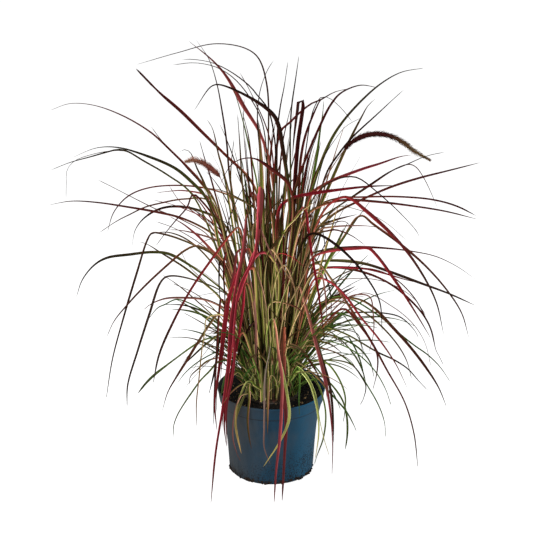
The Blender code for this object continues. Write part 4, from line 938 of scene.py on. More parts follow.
def blade_group():
    """Stripes, midrib, mottling and underside of a blade, with painted light and shade on its halves and
    margins, from what each corner carries.
    """
    tree, inner, outer = new_group("blade_markings_and_painted_light", dict(Stripes=0.5, Veins=7.0, Midrib=0.3, Blotches=0.3),
                                   ("Color", "Roughness", "Height"))
    across, along = attribute(tree, "across"), attribute(tree, "along")
    seed, under = attribute(tree, "seed"), attribute(tree, "under")
    # Long narrow stripes, and shorter blotches, with a place of their own for each blade.
    spot = put(tree, "ShaderNodeCombineXYZ",
               i_0=times_add(tree, seed, 53.0, times(tree, across, inner.outputs["Veins"])),
               i_1=times(tree, along, 5.0), i_2=times(tree, seed, 17.0))
    veins = remap(tree, noise_node(tree, spot.outputs[0], 1.0, 3.0, 0.6), 0.3, 0.7)
    patch = put(tree, "ShaderNodeCombineXYZ", i_0=across, i_1=times(tree, along, 26.0),
                i_2=times(tree, seed, 71.0))
    blotch = remap(tree, noise_node(tree, patch.outputs[0], 1.0, 4.0, 0.65), 0.35, 0.7)
    from_middle = math_node(tree, "ABSOLUTE", across)
    rib = remap(tree, from_middle, 0.05, 0.22, 1.0, 0.0)
    dark = times(tree, math_node(tree, "SUBTRACT", 1.0, veins), inner.outputs["Stripes"])
    gain = times_add(tree, dark, -0.75, 1.18)
    gain = times_add(tree, times(tree, blotch, inner.outputs["Blotches"]), -0.6, gain)
    gain = times_add(tree, times(tree, rib, inner.outputs["Midrib"]), 0.9, gain)
    # Painted light and shade: one half of the folded blade is painted lighter and the other darker, most
    # strongly inside the clump and less so outside it.
    lit_side = times_add(tree, math_node(tree, "GREATER_THAN", seed, 0.5), 2.0, -1.0)
    half = remap(tree, times(tree, across, lit_side), -0.10, 0.14)
    young = remap(tree, attribute(tree, "age"), 0.36, 0.58, 1.0, 0.22)
    fold = times_add(tree, half, 1.34, -0.42)
    gain = times(tree, gain, times_add(tree, fold, young, 1.0))
    # The margins take the rim colour mostly on the lit half: real pale margins with a painted highlight.
    margin = times(tree, remap(tree, from_middle, 0.50, 0.70), times_add(tree, half, 0.70, 0.30))
    color = blend(tree, margin, attribute(tree, "tone", vector=True), attribute(tree, "rim", vector=True))
    color = vector_node(tree, "SCALE", i_0=color, i_Scale=gain)
    color = blend(tree, times(tree, times(tree, under, young), 0.14), color, tint(132, 122, 88))
    connect(tree, outer, Color=color, Roughness=times_add(tree, veins, 0.16, 0.40),
            Height=times_add(tree, rib, 0.8, veins))
    return tree


def weather_and_light_group():
    """Streaks, dust, speckle and foot grime of the pot, with painted light on its right side and painted
    shade on the ledge under the collar, in object space.
    """
    tree, inner, outer = new_group("pot_weathering_and_painted_light", {"Dust": 0.5, "Grime height": 0.006},
                                   ("Dust mask", "Grime mask", "Streaks", "Speckle", "Height",
                                    "Ledge mask", "Faded mask"))
    place = object_place(tree)
    x, y, z = put(tree, "ShaderNodeSeparateXYZ", i_0=place).outputs[:3]

    def cloud(scale, stretch, detail=4.0, shift=0.0):
        """Noise that is stretched along the height by its share, at a place of its own."""
        spot = vector_node(tree, "MULTIPLY_ADD", i_0=place, i_1=(1, 1, stretch), i_2=(shift, shift, shift))
        return noise_node(tree, spot, scale, detail, 0.62)

    streaks = cloud(95.0, 0.07, 5.0)
    fine = cloud(420.0, 0.12, 3.0, 4.0)
    broad = cloud(14.0, 0.7, 4.0, 2.0)
    leftward = remap(tree, times_add(tree, y, 0.35, x), -0.035, -0.115)
    backward = remap(tree, times_add(tree, x, -0.5, y), 0.03, 0.12)
    dusty = math_node(tree, "MAXIMUM", leftward, times(tree, backward, 0.6))
    dusty = times_add(tree, remap(tree, broad, 0.40, 0.70), 0.45, dusty)
    dusty = times(tree, dusty, times_add(tree, streaks, 0.9, 0.35))
    dusty = times(tree, dusty, inner.outputs["Dust"], clamp=True)
    # The grime's upper edge waves round the foot, and stands higher on the left.
    patches = cloud(70.0, 0.6, 5.0, 12.0)
    edge = times_add(tree, broad, 0.016, inner.outputs["Grime height"])
    edge = times_add(tree, math_node(tree, "SUBTRACT", patches, 0.60), 0.11, edge)
    edge = times_add(tree, remap(tree, x, -0.010, -0.080), 0.020, edge)
    grime = remap(tree, math_node(tree, "SUBTRACT", edge, z), 0.0, 0.026)
    grime = times(tree, grime, remap(tree, cloud(240.0, 0.7, 4.0, 5.0), 0.30, 0.54))
    low = remap(tree, times_add(tree, x, -0.35, z), 0.095, 0.004)
    dots = times_add(tree, patches, 0.35, cloud(400.0, 1, 2.0, 3.0))
    dots = remap(tree, times_add(tree, low, 0.10, dots), 0.79, 0.83)
    dots = times(tree, dots, times(tree, low, 0.85))
    grime = math_node(tree, "MAXIMUM", grime, dots, clamp=True)
    # Painted shade: a dark band on the ledge under the collar.
    ledge = times(tree, remap(tree, z, 0.1500, 0.1522), remap(tree, z, 0.1548, 0.1536))
    # The right side's lighter tone is painted light.
    connect(tree, outer, Dust_mask=dusty, Grime_mask=grime, Ledge_mask=ledge,
            Streaks=times_add(tree, fine, 0.5, times(tree, streaks, 0.5)),
            Speckle=remap(tree, cloud(900.0, 1, 2.0, 7.0), 0.60, 0.72),
            Faded_mask=remap(tree, x, 0.015, 0.085),
            Height=times_add(tree, grime, 1.5, cloud(260.0, 0.5, 4.0, 9.0)))
    return tree


def crumb_group():
    """Lumpy, damp soil in object space: a value for the colour and a height."""
    tree, inner, outer = new_group("soil_crumb", dict(Scale=220.0), ("Shade", "Height"))
    place = object_place(tree)
    scale = inner.outputs["Scale"]
    lumps = noise_node(tree, place, scale, 6.0, 0.7)
    cells = put(tree, "ShaderNodeTexVoronoi", i_Vector=place, i_Scale=times(tree, scale, 1.7))
    connect(tree, outer, Shade=remap(tree, lumps, 0.32, 0.72),
            Height=math_node(tree, "SUBTRACT", lumps, cells.outputs["Distance"]))
    return tree


def group_node(tree, name, **values):
    item = tree.nodes.new("ShaderNodeGroup")
    item.node_tree = bpy.data.node_groups[name]
    for key, value in values.items():
        item.inputs[key.replace("_", " ")].default_value = value
    return item


def new_material(name, specular=0.5, roughness=0.6):
    material = bpy.data.materials.new(name)
    material.use_nodes = True
    tree = material.node_tree
    shader = tree.nodes["Principled BSDF"]
    shader.inputs["Specular IOR Level"].default_value = specular
    shader.inputs["Roughness"].default_value = roughness
    return material, tree, shader


def add_bump(tree, shader, height, strength, distance):
    bump = put(tree, "ShaderNodeBump", i_Height=height, i_Strength=strength, i_Distance=distance)
    connect(tree, shader, Normal=bump.outputs[0])


def blade_material(name, stripes, veins, midrib, blotches):
    _, tree, shader = new_material(name, 0.06)
    marks = group_node(tree, "blade_markings_and_painted_light", Stripes=stripes, Veins=veins, Midrib=midrib, Blotches=blotches)
    connect(tree, shader, Base_Color=marks.outputs["Color"], Roughness=marks.outputs["Roughness"])
    add_bump(tree, shader, marks.outputs["Height"], 0.5, 0.15 * MM)


def pot_material(settings):
    _, tree, shader = new_material("weathered_pot_plastic", 0.22)
    marks = group_node(tree, "pot_weathering_and_painted_light", Dust=settings.dust).outputs
    wall = tuple(settings.wall_color)
    grime = tuple(settings.grime_and_shade_color)
    color = blend(tree, marks["Streaks"], tuple(value * 0.66 for value in wall),
                  tuple(value * 1.30 for value in wall))
    # Painted light lightens the right side of the wall.
    for share, layer in ((marks["Faded mask"], tuple(settings.painted_light_color)),
                         (marks["Dust mask"], tuple(settings.dust_color)),
                         # Painted shade on the ledge under the collar, in the grime colour.
                         (times(tree, marks["Ledge mask"], 0.5), grime),
                         (times(tree, marks["Speckle"], 0.35), tint(28, 40, 52)),
                         (marks["Grime mask"], grime)):
        color = blend(tree, share, color, layer)
    rough = times_add(tree, marks["Dust mask"], 0.35, 0.46)
    rough = times_add(tree, marks["Grime mask"], 0.30, rough, clamp=True)
    connect(tree, shader, Base_Color=color, Roughness=rough)
    add_bump(tree, shader, marks["Height"], 0.35, 0.5 * MM)


def soil_material(color):
    """The filled pot's surface: the soil's colour, darker and paler from lump to lump."""
    _, tree, shader = new_material("damp_soil", 0.3, 0.9)
    crumb = group_node(tree, "soil_crumb", Scale=260.0)
    low, high = (tuple(value * gain for value in color) for gain in (0.30, 1.9))
    connect(tree, shader, Base_Color=blend(tree, crumb.outputs["Shade"], low, high))
    add_bump(tree, shader, crumb.outputs["Height"], 0.9, 1.2 * MM)


def add_toned(tree, shader, shade):
    """Base colour from the tone that each corner carries, made lighter and darker by a shade."""
    gain = times_add(tree, shade, 0.9, 0.55)
    tone = attribute(tree, "tone", vector=True)
    connect(tree, shader, Base_Color=vector_node(tree, "SCALE", i_0=tone, i_Scale=gain))


def crumb_material():
    """Loose crumbs, bark bits and pale grains: each carries its own tone."""
    _, tree, shader = new_material("soil_crumbs", 0.3, 0.9)
    crumb = group_node(tree, "soil_crumb", Scale=700.0)
    add_toned(tree, shader, crumb.outputs["Shade"])
    add_bump(tree, shader, crumb.outputs["Height"], 0.6, 0.4 * MM)


def tone_material(name, specular, roughness, scale):
    """For bristles, stems and root lumps, which carry their tone in the mesh."""
    _, tree, shader = new_material(name, specular, roughness)
    grain = noise_node(tree, object_place(tree), scale, 3.0)
    add_toned(tree, shader, grain)
    add_bump(tree, shader, grain, 0.4, 0.2 * MM)


def sheath_material():
    """Tillers: pale and reddish at the soil, olive above, with fine upright ribs."""
    _, tree, shader = new_material("tiller_sheaths", 0.4)
    place = object_place(tree)
    height = put(tree, "ShaderNodeSeparateXYZ", i_0=place).outputs[2]
    ribs_at = vector_node(tree, "MULTIPLY", i_0=place, i_1=(1.0, 1.0, 0.05))
    ribs = noise_node(tree, ribs_at, 1300.0, 3.0)
    patch = noise_node(tree, place, 55.0, 3.0)
    rise = times_add(tree, patch, 0.10, height)
    color = blend(tree, remap(tree, rise, 0.225, 0.275), tint(48, 36, 24), tint(104, 108, 54))
    for share, layer in ((remap(tree, rise, 0.30, 0.38), tint(92, 92, 50)),
                         (remap(tree, patch, 0.52, 0.68, 0.0, 0.75), tint(108, 52, 48)),
                         (remap(tree, ribs, 0.35, 0.65, 0.65, 0.0), tint(40, 34, 22))):
        color = blend(tree, share, color, layer)
    connect(tree, shader, Base_Color=color, Roughness=remap(tree, ribs, 0.3, 0.7, 0.42, 0.62))
    add_bump(tree, shader, ribs, 0.6, 0.3 * MM)


def build_materials(scene):
    stripe = scene.grass_blades.stripe
    blade_group()
    weather_and_light_group()
    crumb_group()
    blade_material("blade_wide", stripe, 6.0, 0.22, 0.30)
    blade_material("blade_red", stripe * 1.5, 6.0, 0.15, 0.45)
    blade_material("blade_pale", stripe * 1.2, 8.0, 0.10, 0.45)
    blade_material("blade_fine", stripe, 4.0, 0.18, 0.35)
    pot_material(scene.grass_pot)
    soil_material(scene.grass_soil.color)
    crumb_material()
    sheath_material()
    tone_material("plume_bristles", 0.08, 0.75, 900.0)
    tone_material("culm_stem", 0.4, 0.5, 600.0)
    tone_material("root_lumps", 0.2, 0.95, 900.0)


# ---------------------------------------------------------------- pot
def pot_profile():
    """Radius and height of the pot's outline, from its floor over the rim to its underside."""
    inside = [(radius - WALL, height) for height, radius in WALL_SHAPE if height > 2 * FLOOR]
    lip = 0.7 * MM
    points = [(0.0, FLOOR), (inside[0][0] - 3 * MM, FLOOR), (inside[0][0] - 0.6 * MM, FLOOR + 2 * MM)]
    points += inside
    points += [(COLLAR_FOOT_RADIUS - WALL, COLLAR_FOOT + 1 * MM), (RIM_RADIUS - WALL, POT_HEIGHT - lip),
               (RIM_RADIUS - WALL + 0.25 * MM, POT_HEIGHT - 0.15 * MM), (RIM_RADIUS - WALL / 2, POT_HEIGHT),
               (RIM_RADIUS - 0.25 * MM, POT_HEIGHT - 0.15 * MM), (RIM_RADIUS, POT_HEIGHT - lip),
               (RIM_RADIUS - 0.1 * MM, POT_HEIGHT - 3.2 * MM), (RIM_RADIUS - 0.7 * MM, POT_HEIGHT - 3.8 * MM),
               (COLLAR_FOOT_RADIUS + 0.6 * MM, COLLAR_FOOT + 2.2 * MM),
               (COLLAR_FOOT_RADIUS + 0.3 * MM, COLLAR_FOOT + 0.5 * MM),
               (COLLAR_FOOT_RADIUS - 0.3 * MM, COLLAR_FOOT),
               (LEDGE_RADIUS + 0.2 * MM, COLLAR_FOOT - 0.3 * MM),
               (LEDGE_RADIUS - 0.1 * MM, COLLAR_FOOT - 1.2 * MM)]
    points += [(radius, height) for height, radius in reversed(WALL_SHAPE)]
    points += [(86.7 * MM, 4 * MM), (86.0 * MM, 1.2 * MM), (85.2 * MM, 0.3 * MM), (84.5 * MM, 0.0),
               (78 * MM, 0.0), (0.0, 0.0)]
    return points


class GRASS_OT_pot(bpy.types.Operator):
    """Turn the nursery pot, cut its drain notches and give it worn plastic"""
    bl_idname = "grass.pot"
    bl_label = "Pot"

    def execute(self, context):
        settings = context.scene.grass_pot
        mesh = bpy.data.meshes.new("nursery_pot")
        points = pot_profile()
        mesh.from_pydata([(radius, 0.0, height) for radius, height in points],
                         [(index, index + 1) for index in range(len(points) - 1)], [])
        pot = bpy.data.objects.new("nursery_pot", mesh)
        context.scene.collection.objects.link(pot)
        screw = pot.modifiers.new("turn", "SCREW")
        screw.steps = screw.render_steps = settings.sides
        screw.use_merge_vertices = True
        screw.merge_threshold = 0.00005
        cutters = []
        for index in range(DRAIN_NOTCHES):
            angle = 2 * math.pi * (index + NOTCH_TURN) / DRAIN_NOTCHES
            bpy.ops.mesh.primitive_cube_add(size=1.0)
            cutter = context.object
            cutter.data.transform(Matrix.Diagonal(NOTCH_SIZE))
            cutter.matrix_world = (Matrix.Translation(around(NOTCH_REACH, angle, 2 * MM))
                                   @ Matrix.Rotation(angle, 4, "Z"))
            bevel = cutter.modifiers.new("round", "BEVEL")
            bevel.width = 2 * MM
            bevel.segments = 3
            cut = pot.modifiers.new("notch", "BOOLEAN")
            cut.operation = "DIFFERENCE"
            cut.solver = "EXACT"
            cut.object = cutter
            cutters.append(cutter)
        graph = context.evaluated_depsgraph_get()
        made = bpy.data.meshes.new_from_object(pot.evaluated_get(graph))
        made.name = "nursery_pot"
        for item in cutters + [pot]:
            bpy.data.objects.remove(item, do_unlink=True)
        form = bmesh.new()
        form.from_mesh(made)
        bmesh.ops.recalc_face_normals(form, faces=form.faces)
        form.to_mesh(made)
        form.free()
        # Shallow dents in the wall.
        for vertex in made.vertices:
            x, y, z = vertex.co
            reach = math.hypot(x, y)
            if reach > 60 * MM and z > 8 * MM:
                angle = math.atan2(y, x)
                dent = noise.noise(Vector((1.6 * math.cos(angle), 1.6 * math.sin(angle), 9 * z)))
                gain = 1 + 0.5 * MM * dent * smooth((z - 8 * MM) / (30 * MM)) / reach
                vertex.co.x *= gain
                vertex.co.y *= gain
        made.shade_smooth()
        made.set_sharp_from_angle(angle=math.radians(POT_CREASE))
        made.materials.clear()
        made.materials.append(bpy.data.materials["weathered_pot_plastic"])
        new_piece("nursery_pot", made, ("pot",))
        self.add_root_lumps()
        return {"FINISHED"}

    def add_root_lumps(self):
        """Dark root and soil lumps that cling to the foot, most of them in the drain notches."""
        rng = random.Random(41)
        form, layer = toned_form()
        # Where lumps cling: angle in degrees, how many, and their size in mm.
        spots = [(-125, 15, 6), (-101, 12, 5.5), (-49, 14, 6), (-12.0, 10, 4), (-140, 6, 3), (31, 8, 4),
                 (84, 7, 4), (122, 8, 4), (166, 6, 3), (-84, 6, 2), (-33, 12, 6)]
        spots += [(360 * (index + NOTCH_TURN) / DRAIN_NOTCHES, 26, 8) for index in range(DRAIN_NOTCHES)]
        for degrees, count, size in spots:
            for _ in range(count):
                angle = math.radians(degrees + rng.gauss(0, 4.5))
                radius = rng.uniform(0.45, 1.0) * size * 0.5 * MM
                height = max(radius * 0.9, rng.uniform(0.4, 7.5) * MM)
                reach = FOOT_REACH + rng.uniform(-0.6, 0.5) * radius - (0.45 * radius if size > 6 else 0)
                made = bmesh.ops.create_icosphere(form, subdivisions=2, radius=1.0)
                shade = rng.uniform(0.6, 1.5)
                stretch = (rng.uniform(0.7, 1.4), rng.uniform(0.7, 1.4), rng.uniform(0.6, 1.0))
                centre = around(reach, angle, height)
                tone = [value * shade for value in tint(44, 34, 28)]
                for vertex in made["verts"]:
                    way = vertex.co.copy()
                    bump = 1 + 0.35 * noise.noise(way * 2.1 + Vector((degrees, angle * 9, radius * 900)))
                    vertex.co = centre + way * Vector(stretch) * radius * bump
                    vertex.co.z = max(vertex.co.z, 0.2 * MM)
                    vertex[layer] = (*tone, 1.0)
        form_piece(form, "root_lumps", "root_lumps")


# ---------------------------------------------------------------- soil
class GRASS_OT_soil(bpy.types.Operator):
    """Fill the pot with lumpy soil and scatter crumbs on it"""
    bl_idname = "grass.soil"
    bl_label = "Soil"

    def execute(self, context):
        """Rings of the surface from the middle out, then the buried wall down to the bottom."""
        sides, rings = 120, 26
        edge = inner_radius(SOIL_TOP) - SOIL_GAP
        form = bmesh.new()
        centre = form.verts.new((0, 0, SOIL_TOP + 1 * MM))
        rows = []
        for ring in range(1, rings + 1):
            reach = edge * (ring / rings) ** 0.8
            row = []
            for side in range(sides):
                angle = 2 * math.pi * side / sides
                x, y = reach * math.cos(angle), reach * math.sin(angle)
                lump = sum(size * noise.noise(Vector((x, y, layer)) * scale)
                           for size, layer, scale in ((2.0, 0, 70), (1.1, 0.2, 230), (0.5, 0.6, 600))) * MM
                fade = smooth((reach - CROWN_RADIUS + 6 * MM) / (10 * MM))
                row.append(form.verts.new((x, y, SOIL_TOP + 0.6 * MM + lump * fade)))
            rows.append(row)
        levels = [SOIL_TOP - 4 * MM] + [height for height, _ in reversed(WALL_SHAPE)] + [FLOOR + 1 * MM]
        walls = []
        for height in levels:
            reach = (inner_radius(height) - SOIL_GAP) / edge
            walls.append([form.verts.new((vertex.co.x * reach, vertex.co.y * reach, height))
                          for vertex in rows[-1]])
        bottom = form.verts.new((0, 0, FLOOR + 1 * MM))
        for side in range(sides):
            following = (side + 1) % sides
            form.faces.new((centre, rows[0][side], rows[0][following]))
            for inner, outer in zip(rows, rows[1:]):
                form.faces.new((inner[side], outer[side], outer[following], inner[following]))
            for upper, lower in zip([rows[-1]] + walls, walls):
                form.faces.new((upper[side], lower[side], lower[following], upper[following]))
            form.faces.new((walls[-1][side], bottom, walls[-1][following]))
        bmesh.ops.recalc_face_normals(form, faces=form.faces)
        form_piece(form, "potting_soil", "damp_soil", ("soil",))
        self.add_crumbs(context.scene.grass_soil.crumbs, edge)
        return {"FINISHED"}

    def add_crumbs(self, count, edge):
        rng = random.Random(11)
        form, layer = toned_form()
        tones = (tint(16, 12, 9), tint(24, 18, 13), tint(70, 54, 36), tint(9, 7, 5), tint(150, 122, 84))
        for _ in range(count):
            reach = edge * math.sqrt(rng.uniform(0.12, 0.985))
            angle = rng.uniform(0, 2 * math.pi)
            size = rng.choice((0.7, 0.9, 1.2, 1.6, 2.2)) * MM
            if reach + size * 1.6 > edge:
                reach = edge - size * 1.6
            x, y = reach * math.cos(angle), reach * math.sin(angle)
            top = max(on_mound(x, y) + 1 * MM, SOIL_TOP + 0.8 * MM)
            tone = rng.choices(tones, (6, 5, 2, 6, 1.4))[0]
            angle = rng.uniform(0, 6.28)
            axis = Vector((rng.gauss(0, 1), rng.gauss(0, 1), 1)).normalized()
            turn = Matrix.Rotation(angle, 3, axis)
            stretch = Vector((rng.uniform(0.6, 1.5), rng.uniform(0.6, 1.2), rng.uniform(0.5, 0.9)))
            made = bmesh.ops.create_icosphere(form, subdivisions=1, radius=1.0)
            for vertex in made["verts"]:
                spot = vertex.co * rng.uniform(0.75, 1.2)
                spot = turn @ (spot * stretch) * size
                vertex.co = Vector((x, y, top + size * 0.2)) + spot
                vertex[layer] = (*tone, 1.0)
        form_piece(form, "soil_crumbs", "soil_crumbs", rounded=False)


# ---------------------------------------------------------------- crown
class GRASS_OT_crown(bpy.types.Operator):
    """Dress the crown: ribbed tillers with loose sheath ends round each blade's foot"""
    bl_idname = "grass.crown"
    bl_label = "Crown"

    def execute(self, context):
        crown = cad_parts["crown"]
        crown.data.materials.clear()
        crown.data.materials.append(bpy.data.materials["tiller_sheaths"])
        rng = random.Random(5)
        stack = BladeStack()
        for name in BLADES:
            rows = blade_rows(name)
            foot, ahead = rows[0][:3], rows[1][:3]
            axis = (ahead - foot) / np.linalg.norm(ahead - foot)
            side = rows[0][3:6]
            for turn in (0.0, math.pi):
                length = rng.uniform(22, 46) * MM
                below = rng.uniform(10, 22) * MM
                turning = Matrix.Rotation(turn + rng.uniform(-0.4, 0.4), 3, Vector(axis))
                sides = np.array(turning @ Vector(side))
                out = np.cross(axis, sides)
                shares = np.linspace(0, 1, 8)
                flare = 2.2 * MM + 1.6 * MM * shares ** 2.4
                centres = (foot - axis * below + np.outer(shares * (below + length), axis)
                           + np.outer(flare, out))
                widths = np.array([mix(4.6, 0.5, smooth((share - 0.35) / 0.65)) for share in shares]) * MM
                kind = rng.choice(("olive", "green", "tan", "brown", "mauve"))
                stack.add(centres, np.tile(sides, (len(shares), 1)), widths, kind, -0.28, 0.5 * MM,
                          FINE_SECTION, rng)
        mesh = stack.mesh("sheath_ends", FINE_CREASE)
        mesh.materials.append(bpy.data.materials["blade_pale"])
        new_piece("sheath_ends", mesh)
        return {"FINISHED"}


# ---------------------------------------------------------------- blades
def fold_pinch(centres):
    """Narrows a blade where it folds sharply, as a crease does."""
    way = unit_rows(np.diff(centres, axis=0))
    turn = np.degrees(np.arccos(np.clip((way[1:] * way[:-1]).sum(axis=1), -1, 1)))
    turn = np.concatenate(([0], turn, [0]))
    near = np.convolve(turn, np.ones(5), "same")
    return 1 - 0.22 * np.clip((near - 40) / 80, 0, 1)


def drawn_widths(table, shares):
    """Widths at the shares, from a text of widths at WIDTH_SHARES or of share,width pairs."""
    if "," in table:
        keys, drawn = zip(*[numbers(pair) for pair in table.split()])
    else:
        keys, drawn = WIDTH_SHARES, [float(value) for value in table.split()]
    return np.interp(shares, keys, drawn) * MM


PALE_KINDS = ("cream", "straw", "green", "leafgreen", "khaki", "tan")
RED_KINDS = ("crimson", "ember", "scarlet", "folded_red", "folded_rust", "folded_salmon", "rose")


def blade_finish(kind):
    if kind in PALE_KINDS:
        return "blade_pale"
    return "blade_red" if kind in RED_KINDS else "blade_wide"


class GRASS_OT_blades(bpy.types.Operator):
    """Loft each long blade over its solid, with a folded section, twist and long thin tip"""
    bl_idname = "grass.blades"
    bl_label = "Long blades"

    def execute(self, context):
        settings = context.scene.grass_blades
        for number, (name, (kind, twists, drawn)) in enumerate(BLADES.items()):
            rng = random.Random(100 + number)
            rows = blade_rows(name)
            count = max(60, int(arc_lengths(rows[:, :3])[-1] / (5 * MM)))
            dense = spline(rows, count)
            centres, sides = dense[:, :3], dense[:, 3:6]
            shares = np.linspace(0, 1, count)
            widths = drawn_widths(drawn, shares) * fold_pinch(centres)
            widths[-1] = settings.tip_width
            widths = widths * (1 + 0.05 * np.sin(shares * 23 + number))
            tangent = unit_rows(np.gradient(centres, axis=0))
            angles = np.radians(np.interp(shares, (0, 0.5, 1), twists)) * (1 if number % 2 else -1)
            sides = facing_sides(centres, sides, settings.facing)
            sides = turned_sides(sides, tangent, angles)
            thickness = np.interp(shares, (0, 1), LONG_THICKNESS)
            thickness = np.minimum(thickness, widths * 0.5)
            stack = BladeStack()
            ages = folded_ages(centres) if "front" in name else ages_along(centres)
            stack.add(centres, sides, widths, kind, settings.keel, thickness, WIDE_SECTION, rng,
                      number * 7.3, ages)
            mesh = stack.mesh(name + "_blade", LONG_CREASE)
            mesh.materials.append(bpy.data.materials[blade_finish(kind)])
            new_piece(name + "_blade", mesh, (name,))
        return {"FINISHED"}


def fine_route(places, rng, depth_low, depth_high, count):
    """A fine blade's whole route: up from the mound, then through its places."""
    along = arc_lengths(np.array(places))
    depths = np.interp(along, (0, along[-1]), (depth_low, depth_high))
    seen = [sight_place(x, z, depth) for (x, z), depth in zip(places, depths)]
    aim = seen[0]
    reach = math.hypot(aim.x, aim.y)
    fan = min(0.62, 50 * MM / max(reach, 1e-4)) * rng.uniform(0.75, 1.0)
    root = Vector((aim.x * fan + rng.gauss(0, 4 * MM), aim.y * fan + rng.gauss(0, 4 * MM), 0.0))
    root.z = on_mound(root.x, root.y)
    rise = aim.z - root.z
    lean = Vector((aim.x - root.x, aim.y - root.y, 0.0))
    guides = [root, root + Vector((0, 0, 0.32 * rise)) + lean * 0.15]
    if rise > 0.08:
        guides.append(root + Vector((0, 0, 0.66 * rise)) + lean * 0.5)
    return spline([tuple(point) for point in guides + seen], count)


class GRASS_OT_fine_blades(bpy.types.Operator):
    """Add the finer blades: the ones that show, and the seeded ones that fill the clump"""
    bl_idname = "grass.fine_blades"
    bl_label = "Fine blades"

    def execute(self, context):
        self.tip = context.scene.grass_blades.tip_width
        self.facing = context.scene.grass_blades.facing
        for name, table, slot in (("fine_left", FINE_LEFT, "blades_olive"),
                                  ("fine_top", FINE_TOP, "blades_maroon"),
                                  ("fine_right", FINE_RIGHT, "blades_olive"),
                                  ("fine_front", FINE_FRONT, "blades_crimson")):
            stack = BladeStack()
            for number, row in enumerate(table):
                rng = random.Random(f"{name}{number}")
                kind, width, near, far, *places = row.split()
                blunt = places[-1] == "cut"
                if blunt:
                    places.pop()
                centres = fine_route([numbers(place) for place in places], rng, float(near), float(far),
                                     SHOWN_ROWS)
                ages = folded_ages(centres) if name == "fine_front" else ages_along(centres)
                self.add_blade(stack, centres, float(width) * FINE_GAIN * MM, kind, rng, blunt, ages,
                               self.facing)
            self.finish(stack, name, slot)
        fullness = context.scene.grass_blades.fullness
        for family in FAMILIES:
            self.add_family(family, fullness)
        return {"FINISHED"}

    def add_blade(self, stack, centres, width, kind, rng, blunt=False, ages=None, facing=0.0):
        count = len(centres)
        widths = blade_profile(width, count, self.tip, blunt)
        thickness = np.minimum(np.linspace(*FINE_THICKNESS, count), widths * 0.5)
        sides = facing_sides(centres, route_sides(centres, rng), facing)
        stack.add(centres, sides, widths, kind, rng.uniform(0.22, 0.38), thickness, FINE_SECTION, rng,
                  rng.uniform(0, 50), ages)

    def finish(self, stack, name, slot):
        mesh = stack.mesh(name, FINE_CREASE)
        mesh.materials.append(bpy.data.materials["blade_fine"])
        new_piece(name, mesh)

    def add_family(self, family, fullness):
        rng = random.Random(family["seed"])
        stack = BladeStack()
        wanted = int(family["count"] * fullness)
        for _ in range(wanted * 12):
            if stack.blades >= wanted:
                break
            centres = seeded_route(family, rng)
            if clear_of_pot(centres):
                kind = rng.choices(list(family["kinds"]), list(family["kinds"].values()))[0]
                width = rng.uniform(*family["width"]) * MM
                self.add_blade(stack, centres, width, kind, rng)
        self.finish(stack, family["name"], family["slot"])


# Seeded fillers: angles in degrees from straight up, lengths in cm, widths and root reach in mm,
# azimuth from +X, chance of a kink, and each kind with its weight.
FAMILIES = (
    dict(name="fill_core", slot="blades_olive", seed=21, count=86, azimuth=(0, 360), lean=(0, 12),
         droop=(2, 26), length=(24, 54), width=(2.2, 4.0), root=47, kink=0.0, stray=1.3,
         kinds=dict(khaki=11, olive=10, green=10, tan=4, wine=4, maroon=2, mauve=2, pitch_olive=3,
                    night=2)),
    # In fill_heart the dark shade kind is painted shade low in the heart of the clump; the green kinds are
    # real blades.
    dict(name="fill_heart", slot="blades_olive", seed=22, count=110, azimuth=(0, 360), lean=(0, 18),
         droop=(0, 22), length=(9, 20), width=(3.0, 6.0), root=44, kink=0.0,
         kinds=dict(shade=5, night=1, leafgreen=3, green=4, khaki=2)),
    dict(name="fill_low", slot="blades_olive", seed=23, count=60, azimuth=(-120, 70), lean=(16, 50),
         droop=(35, 85), length=(18, 36), width=(3.0, 5.2), root=50, kink=0.1,
         kinds=dict(leafgreen=6, green=6, olive=3, khaki=3, pitch_olive=1, mauve=1)),
    dict(name="fill_low_back", slot="blades_olive", seed=29, count=36, azimuth=(70, 240), lean=(14, 46),
         droop=(35, 80), length=(16, 30), width=(3.6, 6.0), root=50, kink=0.1,
         kinds=dict(leafgreen=5, green=5, olive=3, khaki=2)),
    dict(name="fill_tall", slot="blades_maroon", seed=26, count=18, azimuth=(0, 360), lean=(0, 11),
         droop=(2, 22), length=(42, 58), width=(2.2, 3.8), root=46, kink=0.0,
         kinds=dict(khaki=5, olive=6, tan=3, maroon=3, brown=2)),
    dict(name="fill_back", slot="blades_maroon", seed=24, count=26, azimuth=(55, 125), lean=(6, 24),
         droop=(45, 110), length=(42, 62), width=(2.6, 4.2), root=50, kink=0.15,
         kinds=dict(maroon=4, black=3, olive=3, crimson=2, brown=2, pitch_olive=2)),
    dict(name="fill_cross", slot="blades_maroon", seed=31, count=26, azimuth=(0, 360), lean=(12, 26),
         droop=(8, 50), length=(28, 44), width=(1.6, 2.8), root=50, kink=0.2, across=math.pi,
         kinds=dict(wine=4, night=3, mauve=3, tan=3, rose=2, olive=2)),
    dict(name="fill_stubs", slot="sheaths", seed=25, count=100, azimuth=(0, 360), lean=(4, 40),
         droop=(5, 40), length=(6, 18), width=(3.2, 6.5), root=54, kink=0.2,
         kinds=dict(olive=3, green=6, khaki=3, tan=1, cream=2, leafgreen=4)),
)


